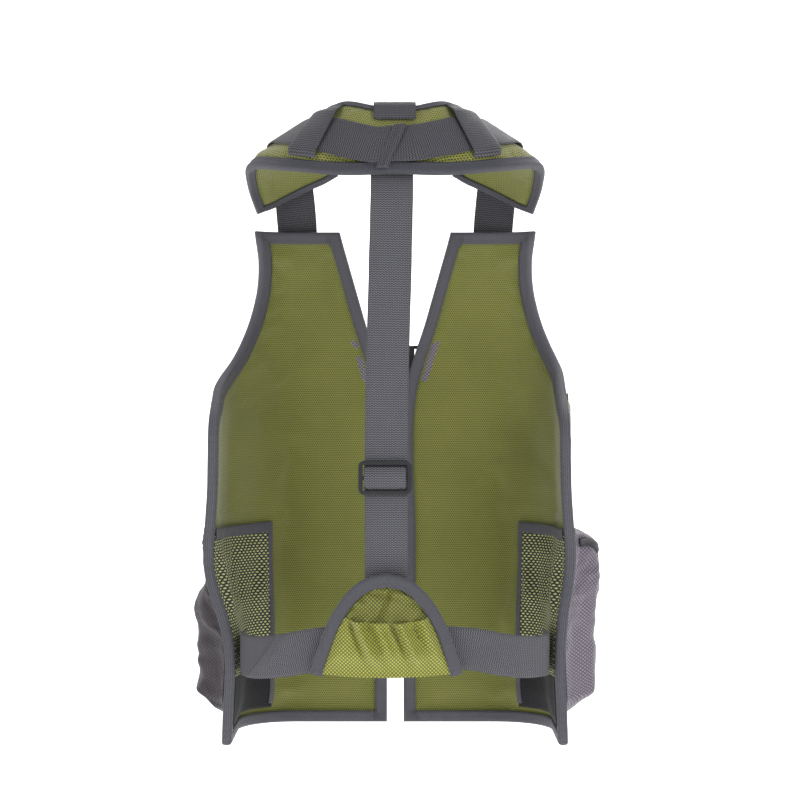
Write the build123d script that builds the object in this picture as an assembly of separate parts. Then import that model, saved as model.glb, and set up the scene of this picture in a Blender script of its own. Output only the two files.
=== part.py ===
from build123d import *
import math
import os

# Strap-back fishing life vest.  Millimetres, +Z up.  The wearer faces -Y and the
# wearer's left side is +X.  The origin is the middle of the neck opening at the
# height where the collar rests on the shoulders.

# ---------------------------------------------------------------- driving sizes

GAP = 0.6                 # clearance between separate soft pieces
WEB = 40.0                # wide webbing
WEB_T = 1.8               # webbing thickness
CHEST_WEB = 25.0          # narrow webbing at the chest buckle

FRONT_EDGE_X = 12.0       # half the gap between the two fronts
CORNER_R = 60.0           # plan radius where a front turns to the side
PANEL_TOP = -75.0
PANEL_BOTTOM = -578.0
PANEL_HALF = 7.0          # half thickness of a foam front
PANEL_EDGE_HALF = 3.2     # half thickness along its bound edge
POCKET_GAP = 1.2          # clearance between a front and the pockets sewn on it
SEAM_T = 2.0              # thickness of a pocket along its seams
EDGE_BAND = 12.0          # width of the thin bound edge
COVER = 1.5               # cover cloth, with its lining and seam allowance

# Plan size of a front at each height: (height, value).
SIDE_X = [(-578, 163), (-545, 162), (-500, 160), (-460, 163), (-405, 171), (-330, 167), (-255, 166),
          (-150, 165), (-75, 160)]
FRONT_Y = [(-578, -120), (-450, -124), (-300, -124), (-200, -122), (-140, -110), (-75, -84)]
START_S = [(-578, 0), (-380, 0), (-245, 0), (-160, 24), (-75, 48)]
END_S = [(-578, 272), (-400, 272), (-285, 272), (-262, 262), (-240, 226), (-210, 176), (-180, 150),
         (-140, 134), (-105, 130), (-75, 134)]

# Collar stations from the middle of the back to the front end of the left side.
COLLAR_INNER = [(0, 62, 30), (44, 47, 39), (60, 20, 35), (62, -12, 32), (61, -48, 17), (60, -80, -15)]
COLLAR_OUTER = [(0, 95, -32), (52, 88, -32), (104, 63, -25), (141, 8, -18), (146, -40, -32), (140, -72, -54)]
COLLAR_HALF = 6.5
COLLAR_EDGE_HALF = 2.4

BACK_X = 8.0              # the back strap and lumbar pad sit a little to the left
SLIDER_Z = -317.5         # height of the back strap slider
SLIDER_W = 50.0
SLIDER_H = 32.5
LUMBAR_TOP = -408.0
LUMBAR_BOTTOM = -501.0
LUMBAR_Y = 98.0           # middle of the lumbar pad at its centre line
LUMBAR_R = 230.0          # plan radius of the lumbar pad
LUMBAR_T = 11.0
BELT_Z = -477.5           # belt height at the lumbar pad
BELT_SIDE_Z = -491.0      # belt height at the sides

CHEST_BUCKLE_Z = -205.0
WAIST_BUCKLE_Z = -490.0
BUCKLE_Y = -139.0
BUCKLE_BAR_X = 27.0       # middle of the webbing bar of each buckle half

LOWER_POCKET = dict(s=(46.0, 224.0), z=(-562.0, -372.0), plan=-440.0, depth=38.0, side_depth=22.0, ramp=20.0)
CHEST_POCKET = dict(s=(30.0, 188.0), z=(-340.0, -238.0), plan=-290.0, depth=20.0, side_depth=9.0, ramp=16.0)
ZIP_X = 86.0              # the straight run of the lower pocket zip
ZIP_Z = (-540.0, -396.0)
SHOULDER_X = 100.0        # middle of the shoulder webbing at the front


# ---------------------------------------------------------------- small helpers

def smooth(rows, key):
    """Catmull-Rom value of a table of (key, value) rows, constant outside it."""
    if key <= rows[0][0]:
        return float(rows[0][1])
    if key >= rows[-1][0]:
        return float(rows[-1][1])
    i = max(k for k in range(len(rows) - 1) if rows[k][0] <= key)
    before, here, there, after = rows[max(i - 1, 0)], rows[i], rows[i + 1], rows[min(i + 2, len(rows) - 1)]
    span = there[0] - here[0]
    t = (key - here[0]) / span
    slope_a = (there[1] - before[1]) / (there[0] - before[0]) * span
    slope_b = (after[1] - here[1]) / (after[0] - here[0]) * span
    h00 = 2 * t ** 3 - 3 * t ** 2 + 1
    h10 = t ** 3 - 2 * t ** 2 + t
    h01 = -2 * t ** 3 + 3 * t ** 2
    h11 = t ** 3 - t ** 2
    return h00 * here[1] + h10 * slope_a + h01 * there[1] + h11 * slope_b


def ramp(value):
    """Smooth step from 0 at 0 to 1 at 1."""
    t = min(1.0, max(0.0, value))
    return t * t * (3 - 2 * t)


def steps(low, high, count):
    return [low + (high - low) * i / (count - 1) for i in range(count)]


def eased(low, high, count):
    """Positions from low to high, closer together near both ends."""
    return [low + (high - low) * (1 - math.cos(math.pi * i / (count - 1))) / 2 for i in range(count)]


def strip_face(outer, inner):
    """Face between two rows of points that run the same way."""
    edges = [Spline(*outer), Line(outer[-1], inner[-1]), Spline(*reversed(inner)), Line(inner[0], outer[0])]
    return Face(Wire(edges))


def polygon_face(points):
    return Face(Wire.make_polygon(points, close=True))


def block(x, y, z):
    """Box from three (low, high) ranges."""
    size = (x[1] - x[0], y[1] - y[0], z[1] - z[0])
    middle = ((x[0] + x[1]) / 2, (y[0] + y[1]) / 2, (z[0] + z[1]) / 2)
    return Pos(*middle) * Box(*size)


def ribbon(path, width, thickness=WEB_T):
    """Webbing whose middle line is a plan path of (x, y) points, width along Z, centred on z = 0."""
    outer, inner = [], []
    for i, (x, y) in enumerate(path):
        ax, ay = path[max(i - 1, 0)]
        bx, by = path[min(i + 1, len(path) - 1)]
        length = math.hypot(bx - ax, by - ay)
        nx, ny = -(by - ay) / length, (bx - ax) / length
        outer.append((x + nx * thickness / 2, y + ny * thickness / 2, -width / 2))
        inner.append((x - nx * thickness / 2, y - ny * thickness / 2, -width / 2))
    return extrude(polygon_face(outer + inner[::-1]), width, dir=(0, 0, 1))


def band(middles, across, normals, width, thickness=WEB_T):
    """Webbing lofted through stations: middle point, unit across and unit normal vectors."""
    sections = []
    for middle, side, normal in zip(middles, across, normals):
        a, b = side * (width / 2), normal * (thickness / 2)
        sections.append(polygon_face([middle - a - b, middle + a - b, middle + a + b, middle - a + b]))
    return loft(sections)


def mirrored(shape):
    return mirror(shape, about=Plane.YZ)


def save(shape, name):
    export_step(shape, f"parts/{name}.step")


def save_pair(shape, name):
    """Save a left piece and its mirror image for the right."""
    save(shape, f"{name}_left")
    save(mirrored(shape), f"{name}_right")


# ---------------------------------------------------------------- foam fronts

def wall_point(s, z, off):
    """Point of a left front: s along the plan curve from the front edge, off outward."""
    side, front = smooth(SIDE_X, z), smooth(FRONT_Y, z)
    straight = side - CORNER_R - FRONT_EDGE_X
    arc = CORNER_R * math.pi / 2
    if s < straight:
        return (FRONT_EDGE_X + s, front - off, z)
    if s < straight + arc:
        a = (s - straight) / CORNER_R
        reach = CORNER_R + off
        return (side - CORNER_R + reach * math.sin(a), front + CORNER_R - reach * math.cos(a), z)
    return (side + off, front + CORNER_R + s - straight - arc, z)


def panel_half(s, z):
    """Half thickness of a front: thin along the bound edge, full inside."""
    distance = min(s - smooth(START_S, z), smooth(END_S, z) - s, z - PANEL_BOTTOM, PANEL_TOP - z)
    return PANEL_EDGE_HALF + (PANEL_HALF - PANEL_EDGE_HALF) * ramp((distance - EDGE_BAND) / 26)


def panel_heights(low=PANEL_BOTTOM, high=PANEL_TOP):
    """Section heights of a front between two heights, both included."""
    inner = steps(-565, -305, 14) + steps(-285, -205, 6) + steps(-185, -90, 6)
    return [low] + [z for z in inner if low + 4 < z < high - 4] + [high]


def panel_solid(inset, skin):
    """Padded front, drawn in by inset around its outline and by skin on both faces."""
    sections = []
    for z in panel_heights(PANEL_BOTTOM + inset, PANEL_TOP - inset):
        along = eased(smooth(START_S, z) + inset, smooth(END_S, z) - inset, 17)
        outer = [wall_point(s, z, panel_half(s, z) - skin) for s in along]
        inner = [wall_point(s, z, skin - panel_half(s, z)) for s in along]
        sections.append(strip_face(outer, inner))
    return loft(sections, ruled=True)


def pocket_solid(size, wall=0.0):
    """Bellows pocket on the outer face of a front; with a wall, the space inside the pocket."""
    edge = size["ramp"]
    inset = 0.45 * edge if wall else 0.0
    seam = 0.4 if wall else SEAM_T
    s0, s1 = size["s"][0] + inset, size["s"][1] - inset
    z0, z1 = size["z"][0] + inset, size["z"][1] - inset
    heights = steps(z0, z0 + edge, 4) + steps(z0 + edge, z1 - edge, 6)[1:-1] + steps(z1 - edge, z1, 4)
    along = steps(s0, s0 + edge, 5) + steps(s0 + edge, s1 - 2 * edge, 10)[1:-1] + steps(s1 - 2 * edge, s1, 6)
    sections = []
    for z in heights:
        rise = ramp((z - z0) / edge) * ramp((z1 - z) / edge)
        outer, inner = [], []
        for s in along:
            toward_side = ramp((s - 115) / 60)
            depth = size["depth"] + (size["side_depth"] - size["depth"]) * toward_side
            full = rise * ramp((s - s0) / edge) * ramp((s1 - s) / (2 * edge))
            base = panel_half(s, z) + POCKET_GAP + wall
            flat = Vector(*wall_point(s, z, base + seam))
            swollen = Vector(*wall_point(s, size["plan"], PANEL_HALF + POCKET_GAP + SEAM_T + depth - wall))
            swollen.Z = z
            inner.append(wall_point(s, z, base))
            outer.append(flat + (swollen - flat) * full)
        sections.append(strip_face(outer, inner))
    return loft(sections, ruled=True)


def pocket_front(size):
    """Y of the flat front face of a pocket."""
    return smooth(FRONT_Y, size["plan"]) - PANEL_HALF - POCKET_GAP - SEAM_T - size["depth"]


def lining_sheet(s_range, z_range, off, thickness):
    """Sheet held off the inner face of a front."""
    sections = []
    for z in panel_heights(z_range[0], z_range[1]):
        along = steps(s_range[0], s_range[1], 13)
        near = [wall_point(s, z, -panel_half(s, z) - off) for s in along]
        far = [wall_point(s, z, -panel_half(s, z) - off - thickness) for s in along]
        sections.append(strip_face(near, far))
    return loft(sections, ruled=True)


def edge_binding(z_range):
    """Folded tape around the rear edge of a front."""
    sections = []
    for z in panel_heights(z_range[0], z_range[1]):
        end = smooth(END_S, z)
        near, far = panel_half(end, z) + GAP, panel_half(end, z) + GAP + 1.2
        corners = [(end - 11, near), (end - 11, far), (end + 1.8, far), (end + 1.8, -far),
                   (end - 11, -far), (end - 11, -near), (end + GAP, -near), (end + GAP, near)]
        sections.append(polygon_face([wall_point(s, z, off) for s, off in corners]))
    return loft(sections, ruled=True)


# ---------------------------------------------------------------- collar

def along_rows(rows, u):
    """Smooth point of a station list; the list continues as its mirror image behind u = 0."""
    def row(i):
        if i < 0:
            return Vector(-rows[-i][0], rows[-i][1], rows[-i][2])
        if i >= len(rows):
            return Vector(*rows[-1]) * 2 - Vector(*rows[-2])
        return Vector(*rows[i])

    i = min(int(u), len(rows) - 2)
    t = u - i
    p0, p1, p2, p3 = row(i - 1), row(i), row(i + 1), row(i + 2)
    a = p1 * 2
    b = p2 - p0
    c = p0 * 2 - p1 * 5 + p2 * 4 - p3
    d = p1 * 3 - p0 - p2 * 3 + p3
    return (a + b * t + c * t ** 2 + d * t ** 3) * 0.5


def collar_frame(u):
    """Inner edge point, across vector and unit normal of the collar at station u."""
    inner, outer = along_rows(COLLAR_INNER, u), along_rows(COLLAR_OUTER, u)
    a, b = max(u - 0.05, 0.0), min(u + 0.05, 5.0)
    middle_a = (along_rows(COLLAR_INNER, a) + along_rows(COLLAR_OUTER, a)) * 0.5
    middle_b = (along_rows(COLLAR_INNER, b) + along_rows(COLLAR_OUTER, b)) * 0.5
    across = outer - inner
    return inner, across, (middle_b - middle_a).cross(across).normalized()


def collar_point(u, f, off):
    """Point of the left half of the collar: f across from the neck edge, off outward."""
    inner, across, normal = collar_frame(u)
    crown = 4 * 3.0 * f * (1 - f)
    return inner + across * f + normal * (off + crown)


def collar_solid(inset, skin):
    sections = []
    last = 5.0 - inset / 40
    for u in steps(-last, last, 21):
        inner, across, normal = collar_frame(abs(u))
        cut = inset / across.length
        outer_row, inner_row = [], []
        for f in (0.0, 0.05, 0.14, 0.3, 0.5, 0.7, 0.86, 0.95, 1.0):
            half = COLLAR_EDGE_HALF + (COLLAR_HALF - COLLAR_EDGE_HALF) * ramp(min(f, 1 - f) / 0.2) - skin
            place = cut + f * (1 - 2 * cut)
            outer_row.append(collar_point(abs(u), place, half))
            inner_row.append(collar_point(abs(u), place, -half))
        if u < 0:
            outer_row = [Vector(-p.X, p.Y, p.Z) for p in outer_row]
            inner_row = [Vector(-p.X, p.Y, p.Z) for p in inner_row]
        sections.append(strip_face(outer_row, inner_row))
    return loft(sections)


def yoke_webbing():
    """Webbing over the left half of the collar, from the back pleat to the front panel."""
    middles, sides, normals = [], [], []
    for u in steps(0.06, 5.0, 15):
        f = 0.6 - 0.1 * ramp(u / 2)
        _, across, normal = collar_frame(u)
        middles.append(collar_point(u, f, COLLAR_HALF + GAP + WEB_T / 2))
        sides.append(across.normalized())
        normals.append(normal)
    start, start_side = middles[-1], sides[-1]
    run_a = (middles[-1] - middles[-2]).normalized() * 30
    end = Vector(SHOULDER_X, smooth(FRONT_Y, PANEL_TOP) - PANEL_HALF - 1.5, PANEL_TOP + 4)
    run_b = Vector(0, -0.33, -1).normalized() * 40
    for t in steps(0, 1, 6)[1:]:
        place = start * (2 * t ** 3 - 3 * t ** 2 + 1) + run_a * (t ** 3 - 2 * t ** 2 + t)
        place += end * (3 * t ** 2 - 2 * t ** 3) + run_b * (t ** 3 - t ** 2)
        side = (start_side * (1 - t) + Vector(1, 0, 0) * t).normalized()
        run = place - middles[-1]
        middles.append(place)
        sides.append(side)
        normals.append(run.cross(side).normalized())
    return band(middles, sides, normals, WEB)


def keeper():
    """Short band across the collar that holds the yoke webbing down."""
    middles, sides, normals = [], [], []
    lift = COLLAR_HALF + 4 * GAP + 1.5 * WEB_T
    for f in (0.03, 0.1, 0.18, 0.3, 0.42, 0.54, 0.66, 0.78, 0.88, 0.95):
        u = 1.5 + 0.17 * f
        _, across, normal = collar_frame(u)
        over = ramp(f / 0.17) * ramp((0.98 - f) / 0.12)
        lift_here = COLLAR_HALF + 1.0 + (lift - COLLAR_HALF - 1.0) * over
        middles.append(collar_point(u, f, lift_here))
        sides.append(across.cross(normal).normalized())
        normals.append(normal)
    return band(middles, sides, normals, 30.0, WEB_T)


def collar_loop():
    """Hang loop: webbing that wraps over the top edge in the middle of the back."""
    reach = COLLAR_HALF + 2.4
    width = collar_frame(0)[1].length
    path = [(f, reach) for f in (0.27, 0.21, 0.15, 0.09, 0.04)]
    path += [(-reach / width * math.sin(math.radians(a)), reach * math.cos(math.radians(a))) for a in range(0, 181, 15)]
    path += [(f, -reach) for f in (0.04, 0.09, 0.14, 0.2)]
    points = [collar_point(0, f, off) for f, off in path]
    side = Plane(origin=(0, 0, 0), x_dir=(0, 1, 0), z_dir=(1, 0, 0))
    return side.location * ribbon([(p.Y, p.Z) for p in points], WEB)


# ---------------------------------------------------------------- back strap

STRAP_Y = [(-440, 87.6), (-412, 88.2), (-390, 92), (-360, 97.2), (-345, 98.4), (-317.5, 99), (-290, 98.8),
           (-150, 96.5), (-60, 91), (-32, 84), (-14, 75)]


def back_strap():
    outer, inner = [], []
    heights = [-440, -412, -390, -370, -352, -335, -317.5, -300, -283, -220, -150, -100, -60, -40, -24]
    for z in heights:
        slope = (smooth(STRAP_Y, z + 2) - smooth(STRAP_Y, z - 2)) / 4
        scale = WEB_T / 2 / math.hypot(1, slope)
        y = smooth(STRAP_Y, z)
        outer.append((BACK_X - WEB / 2, y + scale, z - slope * scale))
        inner.append((BACK_X - WEB / 2, y - scale, z + slope * scale))
    return extrude(polygon_face(outer + inner[::-1]), WEB, dir=(1, 0, 0))


def triglide(width, height, thickness=4.0):
    """Three-bar slider in the XZ plane, lying on y = 0 and rising to y = thickness."""
    body = extrude(Plane.XZ * RectangleRounded(width, height, 6), -thickness)
    body = fillet(body.faces().sort_by(Axis.Y)[-1].edges(), 1.2)
    slot = height / 2 - 4.2 - 2.2
    for side in (-1, 1):
        middle = side * (2.2 + slot / 2)
        body -= Pos(0, thickness / 2, middle) * Box(width - 8.6, thickness + 2, slot)
    recess = Pos(0, thickness - 0.5, 0) * Box(width - 8.6, 1.4, 4.6)
    return body - recess


def slider_hump(width, height):
    """Webbing that rises through one slot, over the middle bar and down the other, with its tail."""
    reach = height / 2 - 6.2
    path = [(-reach, 1.6), (-reach + 1.8, 3.2), (-4.6, 5.2), (-2.2, 5.75), (0, 5.9), (2.2, 5.75), (4.6, 5.2),
            (reach - 1.8, 3.2), (reach, 1.6)]
    return Rot(0, -90, 0) * ribbon(path, width)


# ---------------------------------------------------------------- lumbar pad

def lumbar_outline(grow=0.0):
    """Half widths of the rounded pad from the bottom to the top, in the XZ plane."""
    half = [(-501, 66), (-496, 68.5), (-474, 61.5), (-453, 53.5), (-432, 41), (-418, 27.5), (-411, 15), (-408, 0)]
    right = [(x + grow * (1 if x else 0), z + (grow if z > -440 else -grow if z < -495 else 0)) for z, x in half]
    left = [(-x, z) for x, z in reversed(right)][1:]
    points = [(BACK_X + x, 0, z) for x, z in right + left]
    edge = Spline(*points)
    return Face(Wire([edge, Line(points[-1], points[0])]))


def lumbar_slab(near, far):
    """Curved slab between two offsets from the middle surface of the lumbar pad."""
    centre = Pos(BACK_X, LUMBAR_Y - LUMBAR_R, (LUMBAR_TOP + LUMBAR_BOTTOM) / 2)
    return centre * (Cylinder(LUMBAR_R + far, 160) - Cylinder(LUMBAR_R + near, 170))


def lumbar_piece(outline, near, far):
    prism = Pos(0, 150, 0) * extrude(outline, 120, dir=(0, -1, 0))
    return prism & lumbar_slab(near, far)


def lumbar_parts():
    half = LUMBAR_T / 2
    pad = lumbar_piece(lumbar_outline(), -half, half)
    pad -= lumbar_piece(lumbar_outline(-3.0), COVER - half, half - COVER)
    foam = lumbar_piece(lumbar_outline(-4.2), COVER - half + 0.5, half - COVER - 0.5)
    ring = lumbar_piece(lumbar_outline(), half + 0.4, half + 1.7)
    ring -= lumbar_piece(lumbar_outline(-11.0), half - 2, half + 6)
    ring -= block((BACK_X - 90, BACK_X + 90), (0, 200), (LUMBAR_BOTTOM - 20, LUMBAR_BOTTOM + 6))
    pouch = lumbar_piece(lumbar_outline(-11.6), half + 0.4, half + 5.5)
    pouch &= block((BACK_X - 90, BACK_X + 90), (0, 200), (LUMBAR_BOTTOM - 20, -448))
    pouch -= lumbar_piece(lumbar_outline(-13.4), half + 0.3, half + 3.9)
    return pad, foam, ring, pouch


def waist_belt(pad_x):
    """One half of the waist belt, drawn on the left, from behind a lumbar pad centred at pad_x."""
    half_plan = [(36, 86.6), (54, 82.5), (78, 76), (104, 64.5), (128, 49), (144.5, 34), (149.6, 17),
                 (146.4, -14)]
    plan = [(x + pad_x * (1 - ramp((x - 40) / 80)), y) for x, y in half_plan]
    middles, sides, normals = [], [], []
    for i, (x, y) in enumerate(plan):
        ax, ay = plan[max(i - 1, 0)]
        bx, by = plan[min(i + 1, len(plan) - 1)]
        z = BELT_Z + (BELT_SIDE_Z - BELT_Z) * ramp((x - 50) / 85)
        middles.append(Vector(x, y, z))
        sides.append(Vector(0, 0, 1))
        normals.append(Vector(by - ay, ax - bx, 0).normalized())
    return band(middles, sides, normals, WEB)


# ---------------------------------------------------------------- buckles, rings and zips

def buckle_half_width(web):
    return web / 2 + 4.5


def web_frame(web, body_x, bar_x):
    """Frame with the webbing slot behind a buckle half, thinner than the body."""
    half = buckle_half_width(web)
    frame = block((body_x, bar_x + 1.6), (-1.6, 1.6), (-half, half))
    frame = fillet(frame.edges().filter_by(Axis.Y).group_by(Axis.X)[-1], 3.0)
    return frame - block((body_x + 1.2, bar_x - 1.6), (-9, 9), (-web / 2 - 1, web / 2 + 1))


def buckle_female(web):
    """Socket half, on the right: open toward +X, with a side window for each prong."""
    half = buckle_half_width(web)
    body = block((-19.0, 8.0), (-6.0, 6.0), (-half, half))
    body = fillet(body.edges().filter_by(Axis.X), 2.6)
    body -= block((-15.0, 9.0), (-3.9, 3.9), (-half + 3.0, half - 3.0))
    for side in (-1, 1):
        body -= block((-10.0, 2.0), (-3.9, 3.9), tuple(sorted((side * (half - 4), side * (half + 1)))))
    return body + mirrored(web_frame(web, 18.8, BUCKLE_BAR_X))


def buckle_male(web):
    """Plug half, on the left: base, webbing frame and centre guide."""
    half = buckle_half_width(web)
    base = block((8.4, 19.0), (-5.6, 5.6), (-half, half))
    base = fillet(base.edges().filter_by(Axis.X), 2.6)
    guide = block((-8.0, 9.0), (-1.6, 1.6), (-3.0, 3.0))
    return base + guide + web_frame(web, 18.8, BUCKLE_BAR_X)


def buckle_prong(web):
    """Upper springy arm of the plug, with its barb in the window of the socket."""
    half = buckle_half_width(web)
    corners = [(7.6, half - 7.6), (-9.0, half - 8.2), (-9.0, half - 4.0), (-7.6, half - 0.8),
               (-2.5, half - 0.4), (1.4, half - 1.4), (1.4, half - 4.6), (7.6, half - 4.6)]
    return extrude(polygon_face([(x, -2.8, z) for x, z in corners]), 5.6, dir=(0, 1, 0))


def strap_tab(web, reach):
    """Webbing sewn to a front and folded around the webbing bar of a buckle half."""
    bar, turn = BUCKLE_BAR_X, 3.4
    path = [(reach, 5.9), (bar + 12, 5.7), (bar + 6, 4.6)]
    for angle in steps(90, 270, 13):
        a = math.radians(angle)
        path.append((bar + turn * math.cos(a), turn * math.sin(a)))
    path += [(bar + 6, -1.2), (bar + 10, 1.6), (bar + 13, 3.0), (reach - 2, 3.3)]
    return ribbon(path, web)


def dring(width=28.0, drop=22.0, wire=3.2):
    """D-ring hanging from its straight bar, which lies along X through the origin."""
    half = width / 2
    bar = Rot(0, 90, 0) * Cylinder(wire / 2, width)
    legs = Pos(-half, 0, -drop / 4) * Cylinder(wire / 2, drop / 2)
    legs += Pos(half, 0, -drop / 4) * Cylinder(wire / 2, drop / 2)
    corners = Pos(-half, 0, 0) * Sphere(wire / 2)
    corners += Pos(half, 0, 0) * Sphere(wire / 2)
    bow = Pos(0, 0, -drop / 2) * Rot(90, 0, 0) * Torus(half, wire / 2)
    bow &= block((-width, width), (-9, 9), (-drop * 2, -drop / 2))
    return bar + legs + corners + bow


def zip_body():
    """Zip slider, in front of the zip along Z, on y = 0 and rising to y = -4.4."""
    plate = block((-4.5, 4.5), (-2.4, 0), (-6, 6))
    plate = fillet(plate.edges().filter_by(Axis.Y), 2.5)
    bridge = block((-1.6, 1.6), (-5.8, -2.3), (-4.6, 4.6))
    return plate + bridge - block((-3, 3), (-4.4, -2.4), (-3.2, 3.2))


def zip_tab():
    """Pull tab hanging from the bridge of the slider, its ring around the bridge."""
    outline = RectangleRounded(7.2, 28, 3.4) - Pos(0, 10.2) * RectangleRounded(4.2, 5.0, 0.8)
    outline -= Pos(0, -9) * Circle(1.6)
    return Pos(0, -3.4, -14.9) * Rot(90, 0, 0) * extrude(outline, 0.6, both=True)


# ---------------------------------------------------------------- build every piece

os.makedirs("parts", exist_ok=True)

# collar group
collar_cover = collar_solid(0, 0) - collar_solid(2.5, COVER)
save(collar_cover, "collar_pad")
save(collar_solid(4.5, COVER + 0.8), "collar_foam")
save(collar_loop(), "collar_loop")
save_pair(yoke_webbing(), "yoke_webbing")
save_pair(keeper(), "keeper")

# back strap and its slider
save(back_strap(), "back_strap")
strap_face = smooth(STRAP_Y, SLIDER_Z) + WEB_T / 2 + 0.5
at_slider = Pos(BACK_X + 1, strap_face, SLIDER_Z)
save(at_slider * triglide(SLIDER_W, SLIDER_H), "back_slider")
save(at_slider * slider_hump(WEB - 0.6, SLIDER_H), "back_slider_loop")

# lumbar pad and belt
pad, foam, ring, pouch = lumbar_parts()
save(pad, "lumbar_pad")
save(foam, "lumbar_foam")
save(ring, "lumbar_binding")
save(pouch, "lumbar_pocket")
save(waist_belt(BACK_X), "waist_belt_left")
save(mirrored(waist_belt(-BACK_X)), "waist_belt_right")

# foam fronts and what is sewn on them
cover = panel_solid(0, 0) - panel_solid(2.5, COVER)
save_pair(cover, "front_shell")
save_pair(panel_solid(4.5, COVER + 0.6), "front_foam")
save_pair(edge_binding((PANEL_BOTTOM, -286)), "front_binding")
save_pair(lining_sheet((122, 258), (-562, -374), GAP + 0.4, 1.4), "mesh_pocket")
save_pair(pocket_solid(LOWER_POCKET) - pocket_solid(LOWER_POCKET, COVER), "lower_pocket")
save_pair(pocket_solid(CHEST_POCKET) - pocket_solid(CHEST_POCKET, COVER), "chest_pocket")

# zip of the lower pocket
tape_y = (pocket_front(LOWER_POCKET) - 3.0, pocket_front(LOWER_POCKET) - 1.4)
save_pair(block((ZIP_X - 8, ZIP_X + 8), tape_y, ZIP_Z), "lower_zip")
at_zip = Pos(ZIP_X, tape_y[0] - 0.4, ZIP_Z[0] + 10)
save_pair(at_zip * zip_body(), "zip_slider")
save_pair(at_zip * zip_tab(), "zip_pull")

# flap of the chest pocket
flap_y = pocket_front(CHEST_POCKET) - 1.4
flap_x = (FRONT_EDGE_X + 34, FRONT_EDGE_X + 92)
flap = block(flap_x, (flap_y - 2.4, flap_y), (-296, -234))
flap = fillet(flap.edges().filter_by(Axis.Y).group_by(Axis.Z)[0], 10)
save_pair(flap, "chest_flap")

# shoulder webbing on the front, its slider and the D-ring
shoulder_mid = -126.0
slope = (smooth(FRONT_Y, shoulder_mid - 8) - smooth(FRONT_Y, shoulder_mid + 8)) / -16
lean = -math.degrees(math.atan(slope))
touch = smooth(FRONT_Y, shoulder_mid) - PANEL_HALF - GAP - 1.0
on_shoulder = Pos(SHOULDER_X, touch, shoulder_mid) * Rot(lean, 0, 0)
save_pair(on_shoulder * block((-WEB / 2, WEB / 2), (-WEB_T, 0), (-49, 49)), "shoulder_strap")
glide = Rot(0, 0, 180) * triglide(SLIDER_W, SLIDER_H)
hump = Rot(0, 0, 180) * slider_hump(WEB - 0.6, SLIDER_H)
save_pair(on_shoulder * Pos(0, -WEB_T - 0.5, 14) * glide, "shoulder_slider")
save_pair(on_shoulder * Pos(0, -WEB_T - 0.5, 14) * hump, "shoulder_slider_loop")
ring_frame = on_shoulder * Pos(0, -9.4, -51)
ring_tab = Rot(0, -90, 0) * Pos(-BUCKLE_BAR_X, 0, 0) * strap_tab(20.0, BUCKLE_BAR_X + 18)
save_pair(ring_frame * ring_tab, "dring_tab")
save_pair(Pos(*ring_frame.position) * dring(), "dring")

# buckles and the webbing that carries them
for name, web, height, reach in (("chest", CHEST_WEB, CHEST_BUCKLE_Z, 62), ("waist", WEB, WAIST_BUCKLE_Z, 54)):
    place = Pos(0, BUCKLE_Y, height)
    save(place * buckle_female(web), f"{name}_buckle_socket")
    save(place * buckle_male(web), f"{name}_buckle_plug")
    save(place * buckle_prong(web), f"{name}_prong_upper")
    save(place * mirror(buckle_prong(web), about=Plane.XY), f"{name}_prong_lower")
    save_pair(place * strap_tab(web, reach), f"{name}_strap")
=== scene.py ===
import bpy
import math
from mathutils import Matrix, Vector, noise


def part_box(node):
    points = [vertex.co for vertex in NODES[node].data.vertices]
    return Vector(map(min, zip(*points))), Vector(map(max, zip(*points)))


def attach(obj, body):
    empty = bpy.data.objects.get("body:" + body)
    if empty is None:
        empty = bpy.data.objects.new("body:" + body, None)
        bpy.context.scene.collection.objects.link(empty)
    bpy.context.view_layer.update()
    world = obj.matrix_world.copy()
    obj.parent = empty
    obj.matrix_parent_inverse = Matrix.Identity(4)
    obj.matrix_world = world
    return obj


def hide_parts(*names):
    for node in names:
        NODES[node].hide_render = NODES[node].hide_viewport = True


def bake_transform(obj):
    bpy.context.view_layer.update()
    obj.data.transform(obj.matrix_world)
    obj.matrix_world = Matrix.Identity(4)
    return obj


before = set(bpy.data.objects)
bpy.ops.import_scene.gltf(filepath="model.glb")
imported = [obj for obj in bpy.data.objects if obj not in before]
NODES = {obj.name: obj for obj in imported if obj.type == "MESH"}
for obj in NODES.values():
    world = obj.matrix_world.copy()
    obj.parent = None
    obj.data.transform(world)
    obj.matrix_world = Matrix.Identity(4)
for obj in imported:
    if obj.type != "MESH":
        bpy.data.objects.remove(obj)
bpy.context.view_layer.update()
MM = 0.001
FLIP = {"left": Vector((1, 1, 1)), "right": Vector((-1, 1, 1))}
X_AXIS, Z_AXIS = Vector((1, 0, 0)), Vector((0, 0, 1))

# ------------------------------------------------------------------ sizes, in mm, around the CAD's boxes


def box_mm(node):
    low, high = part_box(node)
    return low * 1000, high * 1000


def mirrored(rows):
    """Vectors led by the mirror image of the second one, so that a curve crosses the middle squarely."""
    return [Vector(rows[1]) * FLIP["right"]] + [Vector(row) for row in rows]


# Fronts: s runs round the body from the front edge, z is the height.
SHELL_LOW, SHELL_HIGH = box_mm("front_shell_left")
PANEL_BOTTOM, PANEL_TOP = SHELL_LOW.z, SHELL_HIGH.z
EDGE_X = SHELL_LOW.x
CORNER_R = 60.0                                     # from the front of the body round to its side
PANEL_HALF, PANEL_EDGE_HALF, EDGE_BAND = 7.0, 3.2, 12.0
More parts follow.
